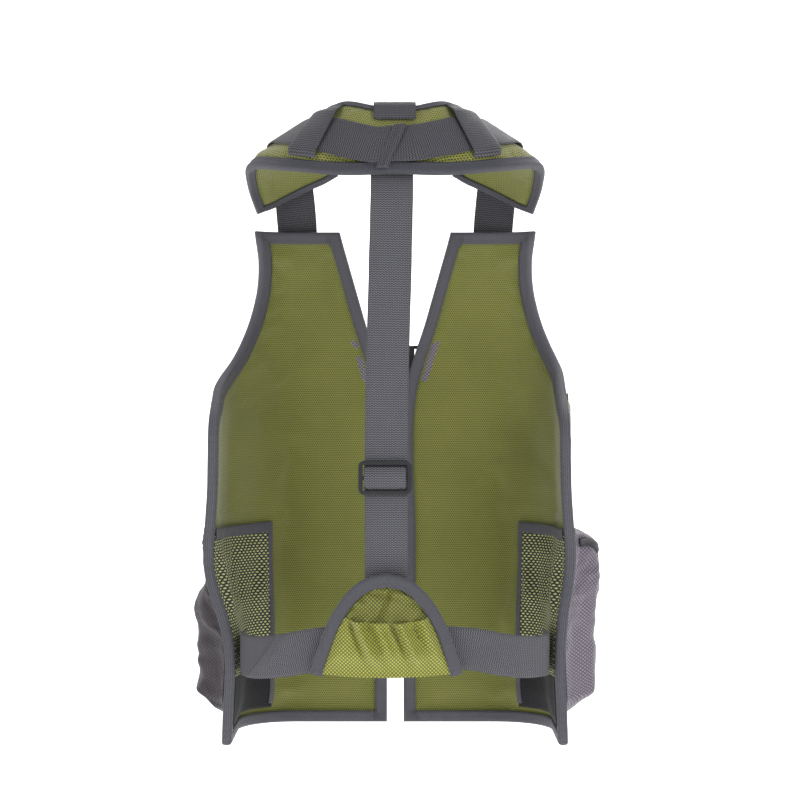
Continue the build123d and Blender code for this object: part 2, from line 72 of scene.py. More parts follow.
# (height, place) rows: the side face, the front face, and where a front starts and ends along s
SIDE_X = [(-578, 163), (-545, 162), (-500, 160), (-460, 163), (-405, 171), (-330, 167), (-255, 166),
          (-150, 165), (-75, 160)]
FRONT_Y = [(-578, -120), (-450, -124), (-300, -124), (-200, -122), (-140, -110), (-75, -84)]
START_S = [(-578, 0), (-380, 0), (-245, 0), (-160, 24), (-75, 48)]
END_S = [(-578, 272), (-400, 272), (-285, 272), (-262, 262), (-240, 226), (-210, 176), (-180, 150),
         (-140, 134), (-105, 130), (-75, 134)]
BUCKLES = [(-205.0, 20.0), (-490.0, 28.0)]          # height and half height of the area behind each buckle
ZIP_S = sum(corner.x for corner in box_mm("lower_zip_left")) / 2 - EDGE_X
LOWER_POCKET = dict(s=(46.0, 224.0), z=(-562.0, -372.0), plan=-440.0, depth=38.0, side_depth=22.0, ramp=20.0)
CHEST_POCKET = dict(s=(30.0, 188.0), z=(-340.0, -238.0), plan=-290.0, depth=20.0, side_depth=9.0, ramp=16.0)
MESH_POCKET = dict(s=(122.0, 261.0), z=(-562.0, -374.0))
PAINTED_SHADE_BELOW = -514.0                                # painted shade: the inner pocket's mesh is coloured near black below this height

# Collar: u runs from the middle of the back (0) to an end (COLLAR_END), f from its inner to its outer edge.
COLLAR_INNER = mirrored([(0, 62, 30), (44, 47, 39), (60, 20, 35), (62, -12, 32), (61, -48, 17),
                         (60, -80, -15)])
COLLAR_OUTER = mirrored([(0, 95, -32), (52, 88, -32), (104, 63, -25), (141, 8, -18), (146, -40, -32),
                         (140, -72, -54)])
COLLAR_HALF, COLLAR_EDGE_HALF, COLLAR_CROWN = 6.5, 2.4, 12.0
COLLAR_END = 5.0
COLLAR_STEP = 42.0                                  # length of one unit of u near the collar's end

# Webbing, tape and thread
WEB, WEB_T = 40.0, 1.8
TAPE, TAPE_T = 11.0, 1.1
STITCH, STITCH_PITCH, STITCH_R = 2.6, 3.8, 0.27
SHOULDER_UP = Vector((0, 0.3486, 0.9373)).normalized()      # along the shoulder webbing at the front
SHOULDER_OUT = Vector((0, -0.9373, 0.3486)).normalized()
SLIDER_REACH = 32.5 / 2 - 6.2                       # half the opening of a three-bar slider
# (height, y) rows of the back strap
STRAP_Y = [(-440, 87.6), (-412, 88.2), (-390, 92), (-360, 97.2), (-345, 98.4), (-317.5, 99), (-290, 98.8),
           (-150, 96.5), (-60, 91), (-32, 84), (-14, 75)]
# (x, y) rows of the left half of the belt, from behind the lumbar pad to inside the front
BELT_PLAN = [(36, 86.6), (54, 82.5), (78, 76), (104, 64.5), (128, 49), (144.5, 34), (149.6, 17), (146.4, -14)]
BELT_BACK_Z, BELT_SIDE_Z = -477.5, -491.0

# Lumbar pad: x counts from its centre line.
PAD_LOW, PAD_HIGH = box_mm("lumbar_pad")
BACK_X = (PAD_LOW.x + PAD_HIGH.x) / 2
LUMBAR_Y = PAD_HIGH.y - 5.5
LUMBAR_R = 230.0
LUMBAR_FOOT, LUMBAR_TOP = -501.0, -408.0
LUMBAR_HALF_WIDTH = [(-503, 70.5), (-496, 68.8), (-474, 61.5), (-453, 53.5), (-432, 41), (-418, 27.5),
                     (-411, 15), (-408, 0)]


# ------------------------------------------------------------------ numbers and curves

def smooth(rows, key):
    """Value at a key from (key, value) rows, joined by a smooth curve."""
    if key <= rows[0][0]:
        return float(rows[0][1])
    if key >= rows[-1][0]:
        return float(rows[-1][1])
    i = max(k for k in range(len(rows) - 1) if rows[k][0] <= key)
    before, here, there, after = rows[max(i - 1, 0)], rows[i], rows[i + 1], rows[min(i + 2, len(rows) - 1)]
    span = there[0] - here[0]
    t = (key - here[0]) / span
    slope_a = (there[1] - before[1]) / (there[0] - before[0]) * span
    slope_b = (after[1] - here[1]) / (after[0] - here[0]) * span
    return hermite(here[1], slope_a, there[1], slope_b, t)


def hermite(start, start_run, end, end_run, t):
    """Curve between two values or vectors that leaves and arrives along the given runs."""
    return (start * (2 * t ** 3 - 3 * t ** 2 + 1) + start_run * (t ** 3 - 2 * t ** 2 + t)
            + end * (3 * t ** 2 - 2 * t ** 3) + end_run * (t ** 3 - t ** 2))


def ramp(value):
    """0 to 1 with soft ends."""
    t = min(1.0, max(0.0, value))
    return t * t * (3 - 2 * t)


def bell(value, width):
    return math.exp(-(value / width) ** 2)


def steps(low, high, count):
    return [low + (high - low) * i / (count - 1) for i in range(count)]


def catmull(points, t):
    """Smooth vector through a list; t runs from 0 to len - 1."""
    i = min(max(int(t), 0), len(points) - 2)
    f = t - i
    p1, p2 = points[i], points[i + 1]
    p0 = points[i - 1] if i else p1 * 2 - p2
    p3 = points[i + 2] if i + 2 < len(points) else p2 * 2 - p1
    return (p1 * 2 + (p2 - p0) * f + (p0 * 2 - p1 * 5 + p2 * 4 - p3) * f * f
            + (p1 * 3 - p0 - p2 * 3 + p3) * f ** 3) * 0.5


def lengths_to(points):
    """Distance from the first point to each one, along the list."""
    lengths = [0.0]
    for a, b in zip(points, points[1:]):
        lengths.append(lengths[-1] + (b - a).length)
    return lengths


def run_at(points, i):
    """Direction of a list of points at one of them, from its neighbours."""
    return (points[min(i + 1, len(points) - 1)] - points[max(i - 1, 0)]).normalized()


def resample(points, step):
    """Evenly spaced points along a smooth curve through a list."""
    dense = [catmull(points, t) for t in steps(0, len(points) - 1, 24 * (len(points) - 1) + 1)]
    lengths = lengths_to(dense)
    out, j = [], 0
    for want in steps(0, lengths[-1], max(2, int(lengths[-1] / step) + 1)):
        while j < len(lengths) - 2 and lengths[j + 1] < want:
            j += 1
        f = (want - lengths[j]) / max(1e-9, lengths[j + 1] - lengths[j])
        out.append(dense[j].lerp(dense[j + 1], min(1, f)))
    return out


def wobble(x, y, seed, size):
    """Smooth noise from -1 to 1 at a feature size in mm."""
    return noise.noise(Vector((x / size, y / size, seed * 7.31)))


# ------------------------------------------------------------------ surfaces of the padded pieces

def wall_point(s, z, off):
    """Point of the left front's middle surface, moved outward."""
    side, front = smooth(SIDE_X, z), smooth(FRONT_Y, z)
    straight = side - CORNER_R - EDGE_X
    arc = CORNER_R * math.pi / 2
    if s < straight:
        return Vector((EDGE_X + s, front - off, z))
    if s < straight + arc:
        a = (s - straight) / CORNER_R
        reach = CORNER_R + off
        return Vector((side - CORNER_R + reach * math.sin(a), front + CORNER_R - reach * math.cos(a), z))
    return Vector((side + off, front + CORNER_R + s - straight - arc, z))


def edge_distance(s, z):
    return min(s - smooth(START_S, z), smooth(END_S, z) - s, z - PANEL_BOTTOM, PANEL_TOP - z)


def panel_half(s, z):
    return PANEL_EDGE_HALF + (PANEL_HALF - PANEL_EDGE_HALF) * ramp((edge_distance(s, z) - EDGE_BAND) / 26)


def pressed(s, z):
    """How far the front edge is pressed flat behind a buckle, 0 to 1."""
    near = max(ramp((reach + 8 - abs(z - height)) / 10) for height, reach in BUCKLES)
    return near * ramp((56 - s + smooth(START_S, z)) / 20)


def beside_zip(s):
    """0 at the zip, where the pocket stays flat, to 1 beside it."""
    return 1 - bell(s - ZIP_S, 13)


def collar_middle(u):
    return (catmull(COLLAR_INNER, u + 1) + catmull(COLLAR_OUTER, u + 1)) * 0.5


def collar_frame(u):
    """Inner edge, across vector and unit normal at a signed station; negative is the right side."""
    v = abs(u)
    inner = catmull(COLLAR_INNER, v + 1)
    across = catmull(COLLAR_OUTER, v + 1) - inner
    run = collar_middle(min(v + 0.05, COLLAR_END)) - collar_middle(max(v - 0.05, 0.0))
    normal = run.cross(across).normalized()
    flip = FLIP["right" if u < 0 else "left"]
    return inner * flip, across * flip, normal * flip


def collar_point(u, f, off):
    inner, across, normal = collar_frame(u)
    return inner + across * f + normal * (off + COLLAR_CROWN * f * (1 - f))


def collar_half(f):
    return COLLAR_EDGE_HALF + (COLLAR_HALF - COLLAR_EDGE_HALF) * ramp(min(f, 1 - f) / 0.2)


def lumbar_point(x, z, off):
    """Point of the lumbar pad's curved face."""
    reach = LUMBAR_R + off
    a = math.asin(max(-0.95, min(0.95, x / LUMBAR_R)))
    return Vector((BACK_X + reach * math.sin(a), LUMBAR_Y - LUMBAR_R + reach * math.cos(a), z))


def lumbar_inside(x, z):
    """Distance in from the pad's outline, roughly, and 0 outside it."""
    top = LUMBAR_TOP - abs(x) ** 2.0 / 60
    return max(0.0, min((smooth(LUMBAR_HALF_WIDTH, z) - abs(x)) * 0.86, top - z, z - LUMBAR_FOOT))


def lumbar_half(x, z):
    return 2.2 + 3.1 * ramp((lumbar_inside(x, z) - 8) / 12)


# ------------------------------------------------------------------ meshes

def make(name, verts, faces, uvs, looks, body, scale=MM):
    """New object from vertices in mm, faces and one (u, v) in mm for each vertex."""
    mesh = bpy.data.meshes.new(name)
    mesh.from_pydata([v * scale for v in verts], [], faces)
    layer = mesh.uv_layers.new(name="UVMap")
    for loop in mesh.loops:
        u, v = uvs[loop.vertex_index]
        layer.data[loop.index].uv = (u * MM, v * MM)
    mesh.polygons.foreach_set("use_smooth", [True] * len(mesh.polygons))
    mesh.update()
    obj = bpy.data.objects.new(name, mesh)
    bpy.context.scene.collection.objects.link(obj)
    for look in looks if isinstance(looks, list) else [looks]:
        mesh.materials.append(look)
    if body:
        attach(obj, body)
    return obj


def dress(piece, slot, *nodes):
    """Hide the CAD nodes that a piece stands for and return the piece; the slot is not used."""
    if nodes:
        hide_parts(*nodes)
    return piece


def grids(rows, columns, cell):
    """Grids of top points, bottom points and (u, v), from cell(row, column); columns may follow the row."""
    cells = []
    for row in rows:
        across = columns(row) if callable(columns) else columns
        cells.append([cell(row, column) for column in across])
    return [[[item[part] for item in line] for line in cells] for part in range(3)]


def slab(name, top, bottom, uv, looks, body, slots=(0, 0, 0), turned=False):
    """Closed sheet between two grids: slots are the material slots of top, bottom and rim."""
    if turned:
        top, bottom = bottom, top
        slots = (slots[1], slots[0], slots[2])
    rows, cols = len(top), len(top[0])
    verts = [p for row in top for p in row] + [p for row in bottom for p in row]
    uvs = [p for row in uv for p in row] * 2
    base = rows * cols
    faces, kinds = [], []
    for i in range(rows - 1):
        for j in range(cols - 1):
            a = i * cols + j
            faces.append((a, a + cols, a + cols + 1, a + 1))
            kinds.append(slots[0])
            faces.append((base + a, base + a + 1, base + a + cols + 1, base + a + cols))
            kinds.append(slots[1])
    rim = [i * cols for i in range(rows)] + [(rows - 1) * cols + j for j in range(1, cols)]
    rim += [i * cols + cols - 1 for i in range(rows - 2, -1, -1)] + [j for j in range(cols - 2, 0, -1)]
    for a, b in zip(rim, rim[1:] + rim[:1]):
        faces.append((a, base + a, base + b, b))
        kinds.append(slots[2])
    obj = make(name, verts, faces, uvs, looks, body)
    for face, kind in zip(obj.data.polygons, kinds):
        face.material_index = kind
    return obj


def webbing(name, stations, width, look, body, thickness=WEB_T, seed=1, step=2.4, wave=0.25, cols=9):
    """Flat webbing through stations (middle, across, normal), with soft edges and a slight wave."""
    places, sides, normals = [[Vector(station[k]) for station in stations] for k in range(3)]
    sides = [side.normalized() for side in sides]
    normals = [normal.normalized() for normal in normals]
    middles = resample(places, step)
    last = len(stations) - 1
    parts = 240
    source = [catmull(places, t) for t in steps(0, last, parts + 1)]
    rows, k = [], 0
    for i, (middle, travel) in enumerate(zip(middles, lengths_to(middles))):
        while k < parts and (source[k + 1] - middle).length < (source[k] - middle).length:
            k += 1
        side = catmull(sides, k / parts * last).normalized()
        normal = catmull(normals, k / parts * last).normalized()
        run = run_at(middles, i)
        side = (side - run * side.dot(run)).normalized()
        flat = run.cross(side).normalized()
        rows.append((middle, side, flat if flat.dot(normal) > 0 else -flat, travel))

    def cell(row, v):
        middle, side, normal, travel = row
        half = thickness / 2 * (1 - 0.45 * abs(v) ** 6)
        lift = wave * wobble(travel, v * 20, seed, 26) + 0.35 * wave * wobble(travel, v * 20, seed + 3, 9)
        out = v * width / 2 + 0.22 * wobble(travel, 60 * v, seed + 9, 18)
        place = middle + side * out + normal * lift
        return place + normal * half, place - normal * half, (travel, v * width / 2)

    crowded = [math.copysign(1 - (1 - abs(v)) ** 1.35, v) for v in steps(-1, 1, cols)]
    turned = sides[0].cross(middles[1] - middles[0]).dot(normals[0]) > 0
    return slab(name, *grids(rows, crowded, cell), look, body, turned=turned)


def bind_edge(name, outline, point, half, width, look, body, gap):
    """Folded tape round an outline: rows of (place, inward) in surface coordinates; inward is per mm."""
    over_edge = 1.3
    face = [(width, 1), (width * 0.7, 1), (width * 0.35, 1), (0.6, 1), (-0.7, 0.72)]
    profile = face + [(-over_edge, 0.0)] + [(inside, -side) for inside, side in reversed(face)]
    across = [0.0]
    for _, side in profile:
        across.append(across[-1] + (width * 0.3 if abs(side) == 1 else 1.6))
    middles = [point(*place, 0) for place, _ in outline]
    rows = [(*pair, travel) for pair, travel in zip(outline, lengths_to(middles))]

    def cell(row, k):
        place, inward, travel = row
        inside, side = profile[k]
        here = place + inward * max(inside, -over_edge)
        lift = half(*(place + inward * max(inside, 0))) + gap
        crimp = 0.18 * wobble(travel, inside * 3 + side * 40, 5, 7)
        return point(*here, side * (lift + TAPE_T + crimp)), point(*here, side * lift), (travel, across[k])

    return slab(name, *grids(rows, range(len(profile)), cell), look, body)


def seam_run(outline, point, half, inside, lift, side):
    """(point, normal) rows of a seam at a distance inside an outline."""
    run = []
    for place, inward in outline:
        a, b = place + inward * inside
        here = point(a, b, side * (half(a, b) + lift))
        run.append((here, point(a, b, side * (half(a, b) + lift + 1)) - here))
    return run


def stitches(name, runs, body):
    """Thread along runs of (point, normal) rows, as short raised stitches."""
    verts, faces, uvs = [], [], []
    sides = 5
    rings = [(-0.5, 0.45, -0.3), (-0.3, 1.0, 0.0), (0.3, 1.0, 0.0), (0.5, 0.45, -0.3)]
    for run in runs:
        points = [Vector(p) for p, _ in run]
        travel = lengths_to(points)
        want, j = STITCH_PITCH * 0.3, 0
        while want < travel[-1] - STITCH * 0.5:
            while travel[j + 1] < want:
                j += 1
            f = (want - travel[j]) / max(1e-6, travel[j + 1] - travel[j])
            middle = points[j].lerp(points[j + 1], f)
            normal = Vector(run[j][1]).normalized()
            ahead = (points[j + 1] - points[j]).normalized()
            side = ahead.cross(normal).normalized()
            base = len(verts)
            for along, size, sink in rings:
                for k in range(sides):
                    a = math.pi * 2 * k / sides
                    verts.append(middle + ahead * (along * STITCH) + side * (math.cos(a) * STITCH_R * size)
                                 + normal * (math.sin(a) * STITCH_R * size + sink * STITCH_R))
                    uvs.append((along * STITCH, a))
            for ring in range(3):
                for k in range(sides):
                    a, b = base + ring * sides + k, base + ring * sides + (k + 1) % sides
                    faces.append((a, b, b + sides, a + sides))
            faces.append(tuple(base + k for k in range(sides - 1, -1, -1)))
            faces.append(tuple(base + 3 * sides + k for k in range(sides)))
            want += STITCH_PITCH
    return make(name, verts, faces, uvs, THREAD, body)


def edging(name, outline, point, half, width, look, body, seams, *nodes, gap=0.5):
    """Folded tape round an outline with its seams, rows of (distance inside, lift, face); name has a gap."""
    dress(bind_edge(name.format("tape"), outline, point, half, width, look, body, gap), "binding", *nodes)
    runs = [seam_run(outline, point, half, *seam) for seam in seams]
    dress(stitches(name.format("thread"), runs, body), "binding")


def inflate(obj, info, held, room, pressure, slack):
    """Cloth under pressure on a slab: held and room, the travel in mm, take info and if a place is on top."""
    mesh = obj.data
    start = [v.co.copy() for v in mesh.vertices]
    facts = [(*info[i % len(info)], i < len(info)) for i in range(len(start))]
    result = start
    group = obj.vertex_groups.new(name="pin")
    for i, fact in enumerate(facts):
        if held(*fact):
            group.add([i], 1.0, "REPLACE")
    cloth = obj.modifiers.new("Cloth", "CLOTH")
    settings = dict(vertex_group_mass="pin", quality=5, mass=0.25, tension_stiffness=18,
                    compression_stiffness=14, shear_stiffness=6, bending_stiffness=0.35,
                    use_pressure=True, uniform_pressure_force=pressure, shrink_min=-slack)
    for name, value in settings.items():
        setattr(cloth.settings, name, value)
    cloth.settings.effector_weights.gravity = 0
    cloth.collision_settings.use_collision = False
    frames = 20
    cloth.point_cache.frame_start = 1
    cloth.point_cache.frame_end = frames
    scene = bpy.context.scene
    for f in range(1, frames + 1):
        scene.frame_set(f)
    moved = obj.evaluated_get(bpy.context.evaluated_depsgraph_get()).to_mesh()
    result = [v.co.copy() for v in moved.vertices]
    obj.modifiers.remove(cloth)
    scene.frame_set(1)
    obj.vertex_groups.clear()
    for v, before, after, fact in zip(mesh.vertices, start, result, facts):
        step = after - before
        limit = room(*fact) * MM
        if step.length > limit:
            step *= limit / step.length
        v.co = before + step
    mesh.update()


# ------------------------------------------------------------------ materials

class Signal:
    """An output socket of a material's nodes; each sum, product or function of it adds one node."""

    def __init__(self, nodes, socket):
        self.nodes = nodes
        self.socket = socket

    def math(self, operation, second=0.0, third=0.0):
        return self.nodes.add("ShaderNodeMath", {0: self, 1: second, 2: third}, operation=operation)

    def __add__(self, other):
        return self.math("ADD", other)

    def __sub__(self, other):
        return self.math("SUBTRACT", other)

    def __mul__(self, other):
        return self.math("MULTIPLY", other)

    def __truediv__(self, other):
        return self.math("DIVIDE", other)

    def __pow__(self, other):
        return self.math("POWER", other)

    def wave(self, pitch, phase=0.0):
        """0 to 1 cosine wave of a value in mm."""
        return self.math("MULTIPLY_ADD", 2 * math.pi / pitch, phase).math("COSINE") * 0.5 + 0.5

    def ramp(self, low, high):
        return self.nodes.add("ShaderNodeMapRange", {0: self, 1: low, 2: high, 3: 0.0, 4: 1.0})


class Nodes:
    """Small wrapper that adds linked nodes to a material."""

    def __init__(self, tree):
        self.tree = tree

    def add(self, kind, values=None, output=0, **settings):
        node = self.tree.nodes.new(kind)
        for key, value in settings.items():
            setattr(node, key, value)
        for key, value in (values or {}).items():
            self.put(node.inputs[key], value)
        return Signal(self, node.outputs[output])

    def put(self, socket, value):
        if isinstance(value, Signal):
            self.tree.links.new(value.socket, socket)
        else:
            socket.default_value = value

    def uv(self):
        """U and V in millimetres."""
        coords = self.add("ShaderNodeUVMap", uv_map="UVMap")
        return [self.add("ShaderNodeSeparateXYZ", {0: coords}, part) * 1000 for part in (0, 1)]

    def object_mm(self):
        coords = self.add("ShaderNodeTexCoord", output="Object")
        return self.stretch(coords, (1000, 1000, 1000))

    def stretch(self, vector, factors):
        return self.add("ShaderNodeVectorMath", {0: vector, 1: factors}, operation="MULTIPLY")

    def join(self, x, y):
        return self.add("ShaderNodeCombineXYZ", {0: x, 1: y, 2: 0.0})

    def noise(self, vector, scale, detail=2.0, rough=0.5):
        values = {"Vector": vector, "Scale": scale, "Detail": detail, "Roughness": rough}
        return self.add("ShaderNodeTexNoise", values, "Fac")

    def mix(self, factor, a, b):
        return self.add("ShaderNodeMix", {0: factor, 6: a, 7: b}, 2, data_type="RGBA")

    def bump(self, height, distance, strength=1.0, normal=None):
        values = {"Height": height, "Distance": distance, "Strength": strength}
        if normal is not None:
            values["Normal"] = normal
        return self.add("ShaderNodeBump", values)


def material(name):
    """New material with its nodes and its shader."""
    mat = bpy.data.materials.new(name)
    mat.use_nodes = True
    tree = mat.node_tree
    tree.nodes.clear()
    out = tree.nodes.new("ShaderNodeOutputMaterial")
    shader = tree.nodes.new("ShaderNodeBsdfPrincipled")
    tree.links.new(shader.outputs[0], out.inputs[0])
    return mat, Nodes(tree), shader


def rgb(*parts):
    """Linear colour from sRGB parts of 0 to 255."""
    shares = [part / 255 for part in parts]
    return tuple(v / 12.92 if v <= 0.04045 else ((v + 0.055) / 1.055) ** 2.4 for v in shares) + (1.0,)


def shade(colour, factor):
    """The colour made lighter or darker."""
    return tuple(min(1, c * factor) for c in colour[:3]) + (1.0,)


def surface(n, shader, colour, roughness, normal):
    n.put(shader.inputs["Base Color"], colour)
    n.put(shader.inputs["Roughness"], roughness)
    n.put(shader.inputs["Normal"], normal)


def cloth_sheen(shader, weight, roughness, specular):
    shader.inputs["Sheen Weight"].default_value = weight
    shader.inputs["Sheen Roughness"].default_value = roughness
    shader.inputs["Specular IOR Level"].default_value = specular


def webbing_material(name, colour, rib=2.2, column=1.6, depth=0.5, sheen=0.1):
    """Ribbed woven webbing: rows of short floats, offset from one column to the next."""
    mat, n, shader = material(name)
    u, v = n.uv()
    odd = (v / column).math("FLOOR").math("PINGPONG", 1.0)
    ribs = (u * (2 * math.pi / rib) + odd * (0.62 * math.pi)).math("COSINE") * 0.5 + 0.5
    columns = v.wave(column, math.pi)
    fine = n.noise(n.join(u, v), 1.1, 3.0, 0.65)
    height = ribs ** 0.8 * (columns * 0.45 + 0.55) + fine * 0.3
    broad = n.noise(n.object_mm(), 0.02, 3.0)
    # painted shade in the grooves and painted highlight on the ribs, from the rib height
    tone = n.mix(height.ramp(0.2, 1.1), shade(colour, 0.1), shade(colour, 2.3))
    tone = n.mix(broad.ramp(0.35, 0.75) * 0.16, tone, shade(colour, 0.6))
    surface(n, shader, tone, ribs * -0.12 + 0.68, n.bump(height, depth * MM))
    cloth_sheen(shader, sheen, 0.45, 0.42)
    return mat


def tape_material(name, colour):
    return webbing_material(name, colour, rib=1.1, column=0.9, depth=0.3)


def ripstop_material(name, colour, line, pitch, wrinkle=0.5, painted_shade_side=None, sheen=0.3):
    """Diamond ripstop, fine raised lines both ways over a plain weave; a side colour paints shade on the side
    part.
    """
    mat, n, shader = material(name)
    u, v = n.uv()
    turn = math.sqrt(0.5)
    warp = n.noise(n.join(u, v), 0.06, 2.0)
    a = (u + (warp * 1.2 + v)) * turn
    b = (u - v) * turn
    grid = (a.wave(pitch * turn) ** 2.2).math("MAXIMUM", b.wave(pitch * turn) ** 2.2)
    pillow = a.wave(pitch * turn, math.pi) * b.wave(pitch * turn, math.pi)
    weave = u.wave(0.55) * v.wave(0.55)
    broad = n.noise(n.object_mm(), 0.018, 4.0, 0.6)
    creases = n.noise(n.object_mm(), 0.07, 5.0, 0.62)
    tone = n.mix(grid, colour, line)
    # painted highlight in the middle of each puffed cell
    tone = n.mix(pillow * 0.9, tone, shade(colour, 1.7))
    tone = n.mix(broad.ramp(0.3, 0.75) * 0.3, tone, shade(colour, 0.62))
    # painted shade: past s = 150 mm the cloth turns to the darker side colour
    if painted_shade_side:
        tone = n.mix(u.ramp(150, 172), tone, n.mix(grid, painted_shade_side, shade(painted_shade_side, 0.4)))
    folds = n.bump(creases + broad * 0.6, 1.6 * MM, wrinkle)
    surface(n, shader, tone, grid * 0.18 + 0.42, n.bump(pillow * 0.9 + weave * 0.15, 0.3 * MM, 1.0, folds))
    cloth_sheen(shader, sheen, 0.4, 0.5)
    return mat


def mesh_material(name, thread, hole, pitch=2.6, depth=0.8, hole_size=0.30, stretch=1.0, diamond=False,
                  sheen=0.35):
    """Knitted spacer or open mesh: rounded or diamond holes in offset rows between soft threads."""
    mat, n, shader = material(name)
    u, v = n.uv()
    u = u / stretch
    row = v / (pitch * 0.87)
    shift = row.math("FLOOR").math("PINGPONG", 1.0) * (pitch * 0.5)
    du = ((u + shift) / pitch).math("FRACT") - 0.5
    dv = row.math("FRACT") - 0.5
    if diamond:
        far = (du.math("ABSOLUTE") + dv.math("ABSOLUTE")) * 0.85
    else:
        far = (du * du + dv * dv).math("SQRT")
    jitter = n.noise(n.join(u, v), 0.7, 1.0)
    solid = (far + (jitter * 0.14 - 0.07)).ramp(hole_size - 0.08, hole_size + 0.06)
    yarn = n.noise(n.join(u * 2.0, v), 1.7, 2.0)
    broad = n.noise(n.object_mm(), 0.022, 3.0)
    light = n.mix(yarn * 0.4, thread, shade(thread, 1.5))
    light = n.mix(broad.ramp(0.35, 0.7) * 0.25, light, shade(thread, 0.65))
    surface(n, shader, n.mix(solid, hole, light), 0.78, n.bump(solid + yarn * 0.2, depth * MM, 0.9))
    cloth_sheen(shader, sheen, 0.5, 0.3)
    return mat


def plastic_material(name, colour, gloss):
    """Moulded nylon: fine grain and faint sink marks."""
    mat, n, shader = material(name)
    place = n.object_mm()
    grain = n.noise(place, 2.6, 2.0)
    broad = n.noise(place, 0.12, 3.0)
    soft = n.bump(broad, 0.25 * MM, 0.5)
    tone = n.mix(broad * 0.5, colour, shade(colour, 1.35))
    surface(n, shader, tone, grain * 0.18 + gloss, n.bump(grain, 0.05 * MM, 0.7, soft))
    shader.inputs["Specular IOR Level"].default_value = 0.5
    return mat


def metal_material(name, colour, rough, metallic=1.0):
    """Brushed metal with fine scratches."""
    mat, n, shader = material(name)
    scratch = n.noise(n.stretch(n.object_mm(), (0.3, 1.0, 3.0)), 1.4, 3.0)
    tone = n.mix(scratch * 0.4, colour, shade(colour, 0.7))
    surface(n, shader, tone, scratch * 0.2 + rough, n.bump(scratch, 0.03 * MM, 0.5))
    shader.inputs["Metallic"].default_value = metallic
    return mat


def zip_material(name, tape, tooth):
    """Zip tape with a coil down its middle: v runs across the tape."""
    mat, n, shader = material(name)
    u, v = n.uv()
    from_middle = v.math("ABSOLUTE")
    coil = from_middle.ramp(2.6, 2.2)
    teeth = u.wave(1.25)
    split = from_middle.ramp(0.0, 0.35)
    height = coil * (teeth * split * 0.9 + 0.6) + u.wave(0.8) * v.wave(0.8) * 0.2
    surface(n, shader, n.mix(coil * teeth, tape, tooth), coil * -0.3 + 0.72, n.bump(height, 0.7 * MM))
    return mat


WEBBING = webbing_material("webbing", rgb(87, 87, 93))
WEBBING_DARK = webbing_material("webbing_shaded", rgb(78, 77, 82), rib=1.2, column=0.9, depth=0.2)
# darker copy of the webbing: painted shade on the collar's webbing, keepers and loop
COLLAR_WEBBING_SHADED = webbing_material("collar_webbing_shaded", rgb(70, 70, 76))
BINDING = tape_material("binding", rgb(84, 84, 92))
# darker copy of the binding: painted shade on the collar's edges
COLLAR_BINDING_SHADED = tape_material("collar_binding_shaded", rgb(66, 66, 75))
THREAD = plastic_material("thread", rgb(92, 92, 98), 0.7)
GREEN_MESH = mesh_material("green_mesh", rgb(140, 142, 66), rgb(50, 52, 22))
LINING = mesh_material("lining_mesh", rgb(126, 129, 58), rgb(60, 63, 26), pitch=2.2, depth=0.5)
OPEN_MESH = mesh_material("open_mesh", rgb(44, 45, 47), rgb(206, 210, 146), pitch=3.1, depth=0.7,
                          hole_size=0.34, stretch=2.1, diamond=True, sheen=0.1)
# dark copy of the open mesh with near black holes: painted shade on the inner pocket below the belt
MESH_PAINTED_SHADE = mesh_material("open_mesh_painted_shade", rgb(33, 33, 37), rgb(20, 20, 20), pitch=3.0, stretch=1.6,
                           diamond=True, sheen=0.04)
RIPSTOP = ripstop_material("green_ripstop", rgb(158, 160, 66), rgb(72, 75, 22), 3.5)
# darker copy of the green ripstop: painted shade on the lumbar cover above the pocket's mouth
RIPSTOP_SHADED = ripstop_material("green_ripstop_painted_shade", rgb(128, 131, 50), rgb(60, 62, 18), 3.5)
DARK_GREEN = ripstop_material("dark_green", rgb(94, 98, 40), rgb(60, 63, 22), 3.3)
LILAC = ripstop_material("lilac_ripstop", rgb(120, 113, 125), rgb(70, 60, 73), 3.6, wrinkle=1.0)
# darker copy of the lilac ripstop, with a still darker side part: painted shade on the left lower pocket
LILAC_SHADED = ripstop_material("lilac_ripstop_painted_shade", rgb(112, 104, 116), rgb(66, 57, 69), 3.6, wrinkle=1.0,
                                painted_shade_side=rgb(52, 42, 52), sheen=0.05)
PLASTIC = plastic_material("dark_plastic", rgb(32, 33, 36), 0.26)
ZIP = zip_material("zip_tape", rgb(50, 50, 54), rgb(78, 78, 84))
ZIP_METAL = metal_material("zip_metal", rgb(70, 70, 74), 0.42, 0.8)
RING_METAL = metal_material("ring_metal", rgb(176, 178, 182), 0.28)


# ------------------------------------------------------------------ fronts

